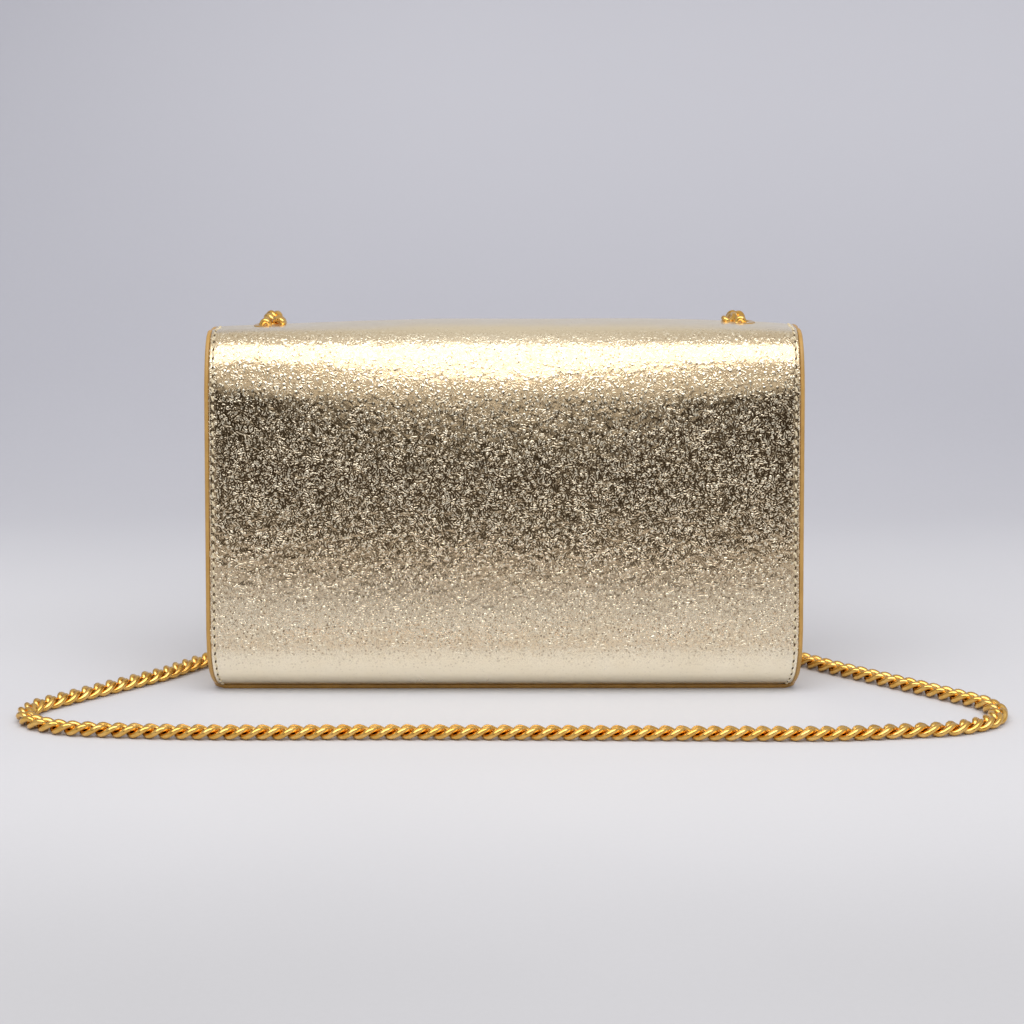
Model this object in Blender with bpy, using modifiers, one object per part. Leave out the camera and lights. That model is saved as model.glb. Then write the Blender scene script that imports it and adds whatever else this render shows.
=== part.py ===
"""Evening bag of metallic leather with a shouldered flap and a curb-chain strap.

The bag stands on its base, its back towards -Y and its flap towards +Y, with the origin at the
middle of the base. A back wrap runs from the foot up the back and over the top. The flap carries
on from it between the two eyelets. A front panel wraps under the base, and its two ears roll over
the top corners and are held under the wrap by the eyelets. Folded gussets close the sides.
"""
from math import asin, ceil, cos, pi, radians, sin, sqrt

import bmesh
import bpy
import numpy as np
from mathutils import Matrix, Vector

# Overall form
BAG_WIDTH = 0.240
TOP_NARROWING = 0.004
BAG_HEIGHT = 0.148
BAG_DEPTH = 0.055
BACK_FOOT_RADIUS = 0.020
BACK_TOP_RADIUS = 0.026
FRONT_TOP_RADIUS = 0.0185
CROWN_SLOPE = radians(8)
FRONT_FOOT_RADIUS = 0.010

# Layers and fits
LEATHER = 0.0014
BOARD = 0.0015
FLAP_BOARD = 0.0008
LINING = 0.0006
FIT = 0.0003
EDGE_BEVEL = 0.0004
EDGE_LIP = 0.0006

# Flap and mouth
FLAP_TIP_HEIGHT = 0.035
FLAP_CORNER = 0.024
FLAP_EDGE_MARGIN = 0.003
HINGE_GAP = 0.0006
FLAP_OVER_EAR = 0.008
MOUTH_HEIGHT = 0.115
MOUTH_CORNER = 0.010
FLAP_THROAT_MARGIN = 0.002
EAR_TUCK = radians(25)

# Gussets, boards, lining and pocket
GUSSET = 0.0012
GUSSET_INSET = 0.0015
GUSSET_FOLD = 0.008
GUSSET_FLANGE_SHARE = 0.2
GUSSET_COLUMNS = 10
GUSSET_ROW_SHARES = (0, 0.012, 0.03, 0.06, 0.13, 0.25, 0.45, 0.65, 0.84, 0.9, 0.94, 0.97, 1)
GUSSET_TOP_PLAY = 0.0006
GUSSET_LINING = 0.0005
GUSSET_LINING_PLAY = 0.0018
FOLD_START = 0.012
FOLD_FULL = 0.090
BOARD_INSET = 0.0065
LINING_INSET = 0.006
POCKET_WIDTH = 0.130
POCKET_FOOT = 0.040
POCKET_TOP = 0.100
POCKET_GAPE = 0.008

# Magnetic snap
SNAP_HEIGHT = 0.052
SNAP_RADIUS = 0.007
SNAP_SOCKET_DEPTH = 0.0015
SNAP_STUD_DEPTH = 0.0008
SNAP_NUB_RADIUS = 0.0025
SNAP_NUB_LENGTH = 0.0012
SNAP_NUB_PLAY = 0.0006
SNAP_SHANK_RADIUS = 0.0018
SNAP_WASHER_RADIUS = 0.006
SNAP_WASHER = 0.0006

# Eyelets and the links that pass through them
EYELET_FROM_EDGE = 0.026
EYELET_FROM_FLAP = 0.010
EYELET_FLANGE_RADIUS = 0.007
EYELET_FLANGE = 0.0010
EYELET_BARREL_RADIUS = 0.0048
EYELET_WALL = 0.0006
EYELET_LIP = 0.0004
EYELET_WASHER = 0.0008
LINK_WIRE = 0.0016
LINK_WIDTH = 0.0056
TOP_LINK_PITCH = 0.008
ANCHOR_BAR_RADIUS = 0.0011
ANCHOR_BAR_LENGTH = 0.015

# Curb-chain strap: the tube's thickness, the height of its centreline where it lies, its samples
CHAIN_THICKNESS = 0.0052
CHAIN_LIE = 0.0027
CHAIN_SAMPLES = 80

# Faceting
ARC_STEP = radians(12)
CORNER_STEPS = 6
TURN_STEPS = 24
CUTTER_REACH = 0.006
SMOOTH_ANGLE = radians(35)
POCKET_COLUMNS, POCKET_LEVELS = 8, 6
ROUTE_PARTS = 12

# Places worked out from the sizes above
HALF_DEPTH = BAG_DEPTH / 2
UNDER_WRAP = LEATHER + FIT
LINING_DEPTH = LEATHER + FIT + BOARD + FIT
CABIN_DEPTH = LINING_DEPTH + LINING + FIT
FLAP_STACK = LEATHER + FIT + FLAP_BOARD + FIT + LINING
SNAP_ROOM = FIT + SNAP_SOCKET_DEPTH + FIT + SNAP_STUD_DEPTH + FIT
FRONT_FACE = HALF_DEPTH - FLAP_STACK - SNAP_ROOM
EYELET_OFFSET = BAG_WIDTH / 2 - EYELET_FROM_EDGE
FLAP_HALF_WIDTH = EYELET_OFFSET - EYELET_FROM_FLAP
MOUTH_HALF_WIDTH = FLAP_HALF_WIDTH - FLAP_OVER_EAR
BACK_ROLL_REACH = BACK_TOP_RADIUS * (1 - sin(CROWN_SLOPE))
FRONT_ROLL_REACH = FRONT_TOP_RADIUS * (1 - sin(CROWN_SLOPE))
CROWN_RADIUS = (BAG_DEPTH - BACK_ROLL_REACH - FRONT_ROLL_REACH) / (2 * sin(CROWN_SLOPE))
TOP_CENTRE_Y = -HALF_DEPTH + BACK_TOP_RADIUS
CROWN_RISE = CROWN_RADIUS * (1 - cos(CROWN_SLOPE))
TOP_CENTRE_Z = BAG_HEIGHT - CROWN_RISE - BACK_TOP_RADIUS * cos(CROWN_SLOPE)
HINGE_Y = HALF_DEPTH - FRONT_ROLL_REACH
HINGE_Z = BAG_HEIGHT - CROWN_RISE
CREST_Y = HINGE_Y - CROWN_RADIUS * sin(CROWN_SLOPE)
FOOT_ANGLE = asin(1 - UNDER_WRAP / BACK_FOOT_RADIUS)
FOOT_Y = -HALF_DEPTH + BACK_FOOT_RADIUS * (1 - cos(FOOT_ANGLE))
GUSSET_TOP = CABIN_DEPTH + GUSSET_TOP_PLAY
EYELET_BASE = BAG_HEIGHT + FIT
EYELET_TOP = EYELET_BASE + EYELET_FLANGE
UNDER_CROWN = CROWN_RADIUS - LINING_DEPTH - LINING
WASHER_DROP = UNDER_CROWN - sqrt(UNDER_CROWN ** 2 - EYELET_FLANGE_RADIUS ** 2)
WASHER_TOP = BAG_HEIGHT - CABIN_DEPTH - WASHER_DROP
WASHER_FOOT = WASHER_TOP - EYELET_WASHER
BARREL_FOOT = WASHER_FOOT - EYELET_LIP

# The strap's route: the floor part as it lies, from its left turn to its right one
FLOOR_ROUTE = (
    (-0.1256, 0.0190), (-0.1330, 0.0085), (-0.1414, -0.0039), (-0.1607, -0.0247),
    (-0.1759, -0.0412), (-0.1839, -0.0510), (-0.1868, -0.0620), (-0.1830, -0.0723),
    (-0.1734, -0.0795), (-0.1600, -0.0836), (-0.1267, -0.0872), (-0.0932, -0.0881),
    (-0.0399, -0.0879), (0.0364, -0.0892), (0.1048, -0.0904), (0.1290, -0.0900),
    (0.1527, -0.0869), (0.1728, -0.0830), (0.1869, -0.0745), (0.1925, -0.0640),
    (0.1918, -0.0545), (0.1880, -0.0460), (0.1732, -0.0302), (0.1509, -0.0078),
    (0.1360, 0.0072), (0.1256, 0.0190),
)
# The strap's hidden part, on the right: from the top link over the shoulder and down the front
FALL_ROUTE = (
    (0.0940, 0.0172, 0.1497), (0.0940, 0.0212, 0.1474), (0.0940, 0.0240, 0.1436),
    (0.0940, 0.0252, 0.1385), (0.0940, 0.0254, 0.1200), (0.0940, 0.0254, 0.0900),
    (0.0942, 0.0254, 0.0600), (0.0944, 0.0254, 0.0300), (0.0950, 0.0254, 0.0175),
    (0.0968, 0.0255, 0.0105), (0.1005, 0.0258, 0.0058), (0.1060, 0.0262, 0.0033),
    (0.1125, 0.0262, CHAIN_LIE), (0.1195, 0.0240, CHAIN_LIE),
)


def start_clean():
    """Empties the scene and makes the collections of the bag and of its cutters."""
    for old in list(bpy.data.objects):
        bpy.data.objects.remove(old, do_unlink=True)
    made = []
    for name in ("evening_bag", "cutters"):
        group = bpy.data.collections.new(name)
        bpy.context.scene.collection.children.link(group)
        made.append(group)
    return made


def principled(name, colour, metallic, roughness):
    """A Principled BSDF material."""
    material = bpy.data.materials.new(name)
    material.use_nodes = True
    shader = material.node_tree.nodes["Principled BSDF"]
    shader.inputs["Base Color"].default_value = (*colour, 1)
    shader.inputs["Metallic"].default_value = metallic
    shader.inputs["Roughness"].default_value = roughness
    material.diffuse_color = (*colour, 1)
    return material


BAG, CUTTERS = start_clean()
GOLD_LEATHER = principled("gold_leather", (0.74, 0.66, 0.48), 0.9, 0.38)
CREAM_LINING = principled("suede_lining", (0.42, 0.34, 0.24), 0.0, 0.85)
GREY_BOARD = principled("fibre_board", (0.30, 0.28, 0.25), 0.0, 0.90)
YELLOW_GOLD = principled("plated_brass", (0.85, 0.56, 0.17), 1.0, 0.20)
SNAP_METAL = principled("snap_metal", (0.78, 0.58, 0.26), 1.0, 0.25)


def add_object(name, mesh, material):
    """Puts a mesh in the bag's collection under its own name."""
    mesh.materials.append(material)
    made = bpy.data.objects.new(name, mesh)
    BAG.objects.link(made)
    return made


def walk(start, heading, moves):
    """Stations (y, z, heading) of a line that only goes straight or turns right.

    A move is (0, length) or (radius, angle). The bag's inside is always on the right.
    """
    y, z = start
    stations = [(y, z, heading)]
    for radius, amount in moves:
        if radius == 0:
            y, z = y + amount * cos(heading), z + amount * sin(heading)
            stations.append((y, z, heading))
            continue
        centre_y, centre_z = y + radius * sin(heading), z - radius * cos(heading)
        steps = max(1, ceil(amount / ARC_STEP))
        for step in range(1, steps + 1):
            now = heading - amount * step / steps
            y, z = centre_y - radius * sin(now), centre_z + radius * cos(now)
            stations.append((y, z, now))
        heading = now
    return stations


def top_point(heading, depth):
    """The point of the back's top roll with that heading, this deep under the wrap's face."""
    reach = BACK_TOP_RADIUS - depth
    return TOP_CENTRE_Y - reach * sin(heading), TOP_CENTRE_Z + reach * cos(heading)


def half_width(z, inset=0):
    """Half the bag's width at a height, less an inset."""
    return (BAG_WIDTH - TOP_NARROWING * z / BAG_HEIGHT) / 2 - inset


def panel(name, material, rows, thickness, bevel=0):
    """A sheet through rows of points, thickened on the inside of the bag."""
    across, along = len(rows[0]) - 1, len(rows) - 1
    mesh = bpy.data.meshes.new(name)
    bm = bmesh.new()
    bmesh.ops.create_grid(bm, x_segments=across, y_segments=along, size=0.5)
    for vertex in bm.verts:
        column = round((vertex.co.x + 0.5) * across)
        row = round((vertex.co.y + 0.5) * along)
        vertex.co = rows[row][column]
    bm.to_mesh(mesh)
    bm.free()
    made = add_object(name, mesh, material)
    mesh.shade_smooth()
    mesh.set_sharp_from_angle(angle=SMOOTH_ANGLE)
    shell = made.modifiers.new("thickness", "SOLIDIFY")
    shell.thickness = thickness
    shell.offset = -1
    shell.use_even_offset = True
    if bevel:
        rim = made.modifiers.new("edge", "BEVEL")
        rim.width = bevel
        rim.segments = 1
        rim.limit_method = "ANGLE"
        rim.angle_limit = radians(60)
    return made


def straight_rows(stations, half_at, columns=2):
    """Rows across the bag at each station, as wide as half_at says for its height."""
    shares = [2 * i / columns - 1 for i in range(columns + 1)]
    return [[Vector((share * half_at(z), y, z)) for share in shares]
            for y, z, heading in stations]


def cutter(mesh, name):
    """An object that only cuts."""
    made = bpy.data.objects.new(name, mesh)
    CUTTERS.objects.link(made)
    made.hide_render = True
    made.display_type = "WIRE"
    return made


def cut(piece, tool):
    """Cuts the tool's shape out of a piece."""
    step = piece.modifiers.new("cut_" + tool.name, "BOOLEAN")
    step.operation = "DIFFERENCE"
    step.solver = "EXACT"
    step.object = tool


def cylinder_mesh(name, radius, length, matrix):
    """A capped cylinder about its own Z, centred, then placed."""
    mesh = bpy.data.meshes.new(name)
    bm = bmesh.new()
    bmesh.ops.create_cone(bm, cap_ends=True, segments=TURN_STEPS, radius1=radius,
                          radius2=radius, depth=length, matrix=matrix)
    bm.to_mesh(mesh)
    bm.free()
    return mesh


def turned(name, material, profile, matrix):
    """A ring or disc turned about Z from (radius, height) points, outer side downwards."""
    mesh = bpy.data.meshes.new(name)
    bm = bmesh.new()
    points = [bm.verts.new((radius, 0, height)) for radius, height in profile]
    closed = profile[0][0] > 0
    pairs = list(zip(points, points[1:])) + ([(points[-1], points[0])] if closed else [])
    for first, second in pairs:
        bm.edges.new((first, second))
    bm.to_mesh(mesh)
    bm.free()
    made = add_object(name, mesh, material)
    made.matrix_world = matrix
    lathe = made.modifiers.new("lathe", "SCREW")
    lathe.steps = lathe.render_steps = TURN_STEPS
    lathe.use_merge_vertices = True
    lathe.merge_threshold = EDGE_BEVEL / 40
    lathe.use_smooth_shade = False
    return made


def back_wrap(eyelet_tools):
    """The leather of the back, from the foot's seam over the top to the flap's fold."""
    rise = TOP_CENTRE_Z - BACK_FOOT_RADIUS
    stations = walk(
        (FOOT_Y, BACK_FOOT_RADIUS * (1 - sin(FOOT_ANGLE))), pi / 2 + FOOT_ANGLE,
        ((BACK_FOOT_RADIUS, FOOT_ANGLE), (0, rise),
         (BACK_TOP_RADIUS, pi / 2 - CROWN_SLOPE), (CROWN_RADIUS, 2 * CROWN_SLOPE)))
    made = panel("back_wrap", GOLD_LEATHER, straight_rows(stations, half_width),
                 LEATHER, EDGE_BEVEL)
    for tool in eyelet_tools:
        cut(made, tool)
    return made


def ear_shoulder(depth):
    """Where the ear's roll starts and its radius, for a surface this deep under the ear's."""
    start_y = HINGE_Y - UNDER_WRAP * sin(CROWN_SLOPE)
    start_z = HINGE_Z - UNDER_WRAP * cos(CROWN_SLOPE)
    radius = (FRONT_FACE - start_y) / (1 - sin(CROWN_SLOPE))
    return start_y, start_z, radius - depth


def front_panel(eyelet_tools, snap_hole):
    """The front's leather: ears tucked under the wrap, front face, and base to the back seam."""
    heading = CROWN_SLOPE + EAR_TUCK
    start_y, start_z, radius = ear_shoulder(0)
    shoulder_foot = start_z - radius * cos(CROWN_SLOPE)
    base_end = FOOT_Y - EDGE_LIP
    stations = walk(
        top_point(heading, UNDER_WRAP), heading,
        ((BACK_TOP_RADIUS - UNDER_WRAP, EAR_TUCK), (CROWN_RADIUS - UNDER_WRAP, 2 * CROWN_SLOPE),
         (radius, pi / 2 - CROWN_SLOPE), (0, shoulder_foot - FRONT_FOOT_RADIUS),
         (FRONT_FOOT_RADIUS, pi / 2), (0, FRONT_FACE - FRONT_FOOT_RADIUS - base_end)))
    made = panel("front_panel", GOLD_LEATHER, straight_rows(stations, half_width),
                 LEATHER, EDGE_BEVEL)
    mouth_mesh = bpy.data.meshes.new("mouth_cutter")
    bm = bmesh.new()
    tall = BAG_HEIGHT - MOUTH_HEIGHT + MOUTH_CORNER
    bmesh.ops.create_cube(bm, size=1, matrix=Matrix.Diagonal(
        (2 * MOUTH_HALF_WIDTH, BAG_DEPTH + MOUTH_CORNER, tall, 1)))
    lower = [e for e in bm.edges if all(v.co.z < 0 for v in e.verts)
             and e.verts[0].co.x == e.verts[1].co.x]
    bmesh.ops.bevel(bm, geom=lower, offset=MOUTH_CORNER, segments=CORNER_STEPS, affect="EDGES",
                    profile=0.5)
    bmesh.ops.translate(bm, verts=bm.verts, vec=(0, 0, MOUTH_HEIGHT + tall / 2))
    bm.to_mesh(mouth_mesh)
    bm.free()
    cut(made, cutter(mouth_mesh, "mouth_cutter"))
    for tool in (*eyelet_tools, snap_hole):
        cut(made, tool)
    return made


def body_lining(eyelet_tools):
    """The lining: down the front from the mouth, along the base, up the back to the fold."""
    depth = LINING_DEPTH
    stations = walk(
        (FRONT_FACE - depth, MOUTH_HEIGHT - EDGE_LIP), -pi / 2,
        ((0, MOUTH_HEIGHT - EDGE_LIP - FRONT_FOOT_RADIUS),
         (FRONT_FOOT_RADIUS - depth, pi / 2),
         (0, FRONT_FACE - FRONT_FOOT_RADIUS + HALF_DEPTH - BACK_FOOT_RADIUS),
         (BACK_FOOT_RADIUS - depth, pi / 2), (0, TOP_CENTRE_Z - BACK_FOOT_RADIUS),
         (BACK_TOP_RADIUS - depth, pi / 2 - CROWN_SLOPE),
         (CROWN_RADIUS - depth, 2 * CROWN_SLOPE)))
    made = panel("body_lining", CREAM_LINING,
                 straight_rows(stations, lambda z: half_width(z, LINING_INSET)), LINING)
    for tool in eyelet_tools:
        cut(made, tool)
    return made


def flat_board(name, start, heading, length, depth):
    """A flat stiffener between the leather and the lining."""
    stations = walk(start, heading, ((0, length),))
    return panel(name, GREY_BOARD,
                 straight_rows(stations, lambda z: half_width(z, BOARD_INSET)), depth)


def boards(washer_pocket):
    """The stiffeners of the back, the front and the base."""
    flat_board("back_board", (-HALF_DEPTH + UNDER_WRAP, BACK_FOOT_RADIUS), pi / 2,
               TOP_CENTRE_Z - BACK_FOOT_RADIUS, BOARD)
    front = flat_board("front_board", (FRONT_FACE - UNDER_WRAP, MOUTH_HEIGHT - MOUTH_CORNER),
                       -pi / 2, MOUTH_HEIGHT - MOUTH_CORNER - FRONT_FOOT_RADIUS, BOARD)
    cut(front, washer_pocket)
    flat_board("base_board", (FRONT_FACE - FRONT_FOOT_RADIUS, UNDER_WRAP), pi,
               FRONT_FACE - FRONT_FOOT_RADIUS + HALF_DEPTH - BACK_FOOT_RADIUS, BOARD)


def inner_outline(top_depth, wall_depth):
    """The room for a gusset: two lists of (z, y), up the back wall and up the front wall."""
    back = walk((-HALF_DEPTH + BACK_FOOT_RADIUS, wall_depth), pi,
                ((BACK_FOOT_RADIUS - wall_depth, pi / 2), (0, TOP_CENTRE_Z - BACK_FOOT_RADIUS),
                 (BACK_TOP_RADIUS - wall_depth, pi / 2 - CROWN_SLOPE - EAR_TUCK - ARC_STEP / 2)))
    top = walk(top_point(CROWN_SLOPE + EAR_TUCK, top_depth), CROWN_SLOPE + EAR_TUCK,
               ((BACK_TOP_RADIUS - top_depth, EAR_TUCK),))
    start_y, start_z, radius = ear_shoulder(wall_depth)
    side_y, side_z = start_y - wall_depth * sin(CROWN_SLOPE), start_z - wall_depth * cos(CROWN_SLOPE)
    front = walk((side_y, side_z), -CROWN_SLOPE,
                 ((radius, pi / 2 - CROWN_SLOPE), (0, side_z - radius * cos(CROWN_SLOPE)
                  - FRONT_FOOT_RADIUS), (FRONT_FOOT_RADIUS - wall_depth, pi / 2)))
    back_wall = sorted((z, y) for y, z, heading in back + top)
    front_wall = sorted((z, y) for y, z, heading in front)
    return back_wall, front_wall


def wall_at(wall, z):
    """The y of a wall, a list of (z, y), at a height."""
    return float(np.interp(z, *zip(*wall)))


def gusset_fold(z, y, walls):
    """How far the gusset folds into the bag at a point of its outline's plane."""
    back, front = (wall_at(wall, z) for wall in walls)
    bend = min(1, abs(2 * y - back - front) / (front - back) / (1 - GUSSET_FLANGE_SHARE))
    grown = min(1, max(0, (z - FOLD_START) / (FOLD_FULL - FOLD_START)))
    return GUSSET_FOLD * grown * grown * (3 - 2 * grown) * (1 - bend ** 2) ** 2


def gusset(name, material, side, thickness, inset, wall_depth, top_depth):
    """A side panel, or its lining, whose middle folds into the bag, most at the top."""
    sewn_walls = inner_outline(GUSSET_TOP, UNDER_WRAP)
    back_wall, front_wall = inner_outline(top_depth, wall_depth)
    high = min(back_wall[-1][0], front_wall[-1][0])
    rows = []
    for share in GUSSET_ROW_SHARES:
        z = wall_depth + (high - wall_depth) * share
        back, front = wall_at(back_wall, z), wall_at(front_wall, z)
        row = []
        for column in range(GUSSET_COLUMNS + 1):
            across = 2 * column / GUSSET_COLUMNS - 1
            y = (back + front) / 2 + side * across * (front - back) / 2
            x = half_width(z, inset) - gusset_fold(z, y, sewn_walls)
            row.append(Vector((side * x, y, z)))
        rows.append(row)
    return panel(name, material, rows, thickness)


def gussets():
    """Both gussets, each with its lining."""
    for label, side in (("left", -1), ("right", 1)):
        gusset("gusset_" + label, GOLD_LEATHER, side, GUSSET, GUSSET_INSET, UNDER_WRAP, GUSSET_TOP)
        gusset("gusset_lining_" + label, CREAM_LINING, side, GUSSET_LINING,
               GUSSET_INSET + GUSSET + GUSSET_LINING_PLAY, CABIN_DEPTH, GUSSET_TOP + 2 * GUSSET)


def slip_pocket():
    """A patch pocket on the back lining, sewn on three sides and gaping at the top."""
    seat = -HALF_DEPTH + CABIN_DEPTH + LINING
    rows = []
    for level in range(POCKET_LEVELS + 1):
        up = level / POCKET_LEVELS
        row = []
        for column in range(POCKET_COLUMNS + 1):
            across = 2 * column / POCKET_COLUMNS - 1
            gape = POCKET_GAPE * cos(across * pi / 2) * sqrt(up)
            row.append(Vector((-across * POCKET_WIDTH / 2, seat + gape,
                               POCKET_FOOT + (POCKET_TOP - POCKET_FOOT) * up)))
        rows.append(row)
    return panel("slip_pocket", CREAM_LINING, rows, LINING)


def flap_stations(depth, down_to):
    """The flap's line at a depth under its face, from the fold over the roll and down."""
    start = (HINGE_Y + HINGE_GAP / 2 - depth * sin(CROWN_SLOPE), HINGE_Z - depth * cos(CROWN_SLOPE))
    roll_foot = HINGE_Z - FRONT_TOP_RADIUS * cos(CROWN_SLOPE)
    roll = FRONT_TOP_RADIUS - HINGE_GAP / 2 / (1 - sin(CROWN_SLOPE)) - depth
    return walk(start, -CROWN_SLOPE, ((roll, pi / 2 - CROWN_SLOPE), (0, roll_foot - down_to)))


def flap_rows(margin, stations):
    """Rows across the flap, narrowing over its two rounded corners at the tip."""
    half = FLAP_HALF_WIDTH - margin
    corner = FLAP_CORNER - margin
    rows = straight_rows(stations, lambda z: half)
    y, z, heading = stations[-1]
    for step in range(1, CORNER_STEPS + 1):
        angle = pi / 2 * step / CORNER_STEPS
        reach = half - corner + corner * cos(angle)
        height = z - corner * sin(angle)
        rows.append([Vector((share * reach, y, height)) for share in (-1, 0, 1)])
    return rows


def flap_pieces(stud_hole, washer_pocket):
    """The flap's leather, stiffener and lining, on the fold's axis."""
    stations = flap_stations(0, FLAP_TIP_HEIGHT + FLAP_CORNER)
    leather = panel("flap_leather", GOLD_LEATHER, flap_rows(0, stations), LEATHER, EDGE_BEVEL)
    depth = LEATHER + FIT
    board_line = flap_stations(depth, FLAP_TIP_HEIGHT + FLAP_CORNER)[-2:]
    board = panel("flap_board", GREY_BOARD, flap_rows(FLAP_EDGE_MARGIN, board_line),
                  FLAP_BOARD)
    cut(board, washer_pocket)
    depth += FLAP_BOARD + FIT
    lining_line = flap_stations(depth, FLAP_TIP_HEIGHT + FLAP_CORNER)
    rows = flap_rows(FLAP_EDGE_MARGIN, lining_line)
    throat = MOUTH_HALF_WIDTH - FLAP_THROAT_MARGIN
    for row, (y, z, heading) in zip(rows, lining_line[:-2]):
        for point, share in zip(row, (-1, 0, 1)):
            point.x = share * throat
    lining = panel("flap_lining", CREAM_LINING, rows, LINING)
    cut(lining, stud_hole)
    return leather, board, lining


def snap(front_hole, stud_hole):
    """The magnetic snap: socket and washer on the front, stud and washer on the flap."""
    out = Matrix.Rotation(-pi / 2, 4, "X")
    socket_foot = FRONT_FACE + FIT
    socket_face = socket_foot + SNAP_SOCKET_DEPTH
    washer_face = FRONT_FACE - UNDER_WRAP
    shank_end = FRONT_FACE - UNDER_WRAP - SNAP_WASHER - EDGE_BEVEL
    well = SNAP_NUB_RADIUS + SNAP_NUB_PLAY
    well_floor = SNAP_SOCKET_DEPTH - SNAP_NUB_LENGTH - FIT / 2
    at_socket = Matrix.Translation((0, socket_foot, SNAP_HEIGHT)) @ out
    turned("snap_socket", SNAP_METAL, (
        (0, well_floor), (well, well_floor), (well, SNAP_SOCKET_DEPTH),
        (SNAP_RADIUS - EDGE_BEVEL, SNAP_SOCKET_DEPTH), (SNAP_RADIUS, SNAP_SOCKET_DEPTH - EDGE_BEVEL),
        (SNAP_RADIUS, 0), (SNAP_SHANK_RADIUS, 0), (SNAP_SHANK_RADIUS, shank_end - socket_foot),
        (0, shank_end - socket_foot)), at_socket)
    washer_bore = SNAP_SHANK_RADIUS + FIT
    ring = ((SNAP_WASHER_RADIUS, 0), (SNAP_WASHER_RADIUS, -SNAP_WASHER),
            (washer_bore, -SNAP_WASHER), (washer_bore, 0))
    turned("snap_socket_washer", SNAP_METAL, ring,
           Matrix.Translation((0, washer_face, SNAP_HEIGHT)) @ out)
    lining_face = HALF_DEPTH - FLAP_STACK
    stud_top = lining_face - FIT
    inward = Matrix.Rotation(pi / 2, 4, "X")
    stud_shank = FIT + LINING + FIT + SNAP_WASHER
    stud = turned("snap_stud", SNAP_METAL, (
        (0, SNAP_STUD_DEPTH + SNAP_NUB_LENGTH),
        (SNAP_NUB_RADIUS - EDGE_BEVEL, SNAP_STUD_DEPTH + SNAP_NUB_LENGTH),
        (SNAP_NUB_RADIUS, SNAP_STUD_DEPTH + SNAP_NUB_LENGTH - EDGE_BEVEL),
        (SNAP_NUB_RADIUS, SNAP_STUD_DEPTH), (SNAP_RADIUS - EDGE_BEVEL, SNAP_STUD_DEPTH),
        (SNAP_RADIUS, SNAP_STUD_DEPTH - EDGE_BEVEL), (SNAP_RADIUS, 0), (SNAP_SHANK_RADIUS, 0),
        (SNAP_SHANK_RADIUS, -stud_shank), (0, -stud_shank)),
        Matrix.Translation((0, stud_top, SNAP_HEIGHT)) @ inward)
    washer = turned("snap_stud_washer", SNAP_METAL, ring, Matrix.Translation(
        (0, lining_face + LINING + FIT, SNAP_HEIGHT)) @ inward)
    return stud, washer


def snap_holes():
    """Cutters for the snap: its shank through leather and lining, its washers in the boards."""
    lie = Matrix.Rotation(pi / 2, 4, "X")
    shank = SNAP_SHANK_RADIUS + FIT
    pocket = SNAP_WASHER_RADIUS + FIT
    lining_face = HALF_DEPTH - FLAP_STACK
    front_y = FRONT_FACE - LEATHER / 2
    board_y = FRONT_FACE - UNDER_WRAP - BOARD / 2
    flap_board_y = HALF_DEPTH - LEATHER - FIT - FLAP_BOARD / 2
    lining_y = lining_face + LINING / 2
    made = []
    for name, radius, y, deep in (("front_shank", shank, front_y, LEATHER),
                                  ("front_washer", pocket, board_y, BOARD),
                                  ("flap_shank", shank, lining_y, LINING),
                                  ("flap_washer", pocket, flap_board_y, FLAP_BOARD)):
        place = Matrix.Translation((0, y, SNAP_HEIGHT)) @ lie
        made.append(cutter(cylinder_mesh(name, radius, deep + 2 * FIT, place), name))
    return made


def eyelet_cutters():
    """Cutters for the two eyelet barrels, through wrap, ear and lining."""
    tools = []
    stack = LINING_DEPTH + LINING
    for label, side in (("left", -1), ("right", 1)):
        place = Matrix.Translation((side * EYELET_OFFSET, CREST_Y, BAG_HEIGHT - stack / 2))
        mesh = cylinder_mesh("eyelet_hole_" + label, EYELET_BARREL_RADIUS + FIT,
                             stack + 2 * CUTTER_REACH, place)
        tools.append(cutter(mesh, "eyelet_hole_" + label))
    return tools


def link(name, length, width, matrix):
    """A closed link of round wire: two straight sides and two round ends, along its own X."""
    curve = bpy.data.curves.new(name, "CURVE")
    curve.dimensions = "3D"
    curve.bevel_depth = LINK_WIRE / 2
    curve.bevel_resolution = 1
    radius = (width - LINK_WIRE) / 2
    run = length / 2 - radius
    spline = curve.splines.new("POLY")
    steps = CORNER_STEPS
    points = []
    for end in (1, -1):
        for step in range(steps + 1):
            angle = pi * step / steps - pi / 2
            points.append((end * (run + radius * cos(angle)), end * radius * sin(angle), 0, 1))
    spline.points.add(len(points) - 1)
    for point, place in zip(spline.points, points):
        point.co = place
    spline.use_cyclic_u = True
    curve.materials.append(YELLOW_GOLD)
    made = bpy.data.objects.new(name, curve)
    BAG.objects.link(made)
    made.matrix_world = matrix
    return made


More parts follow.
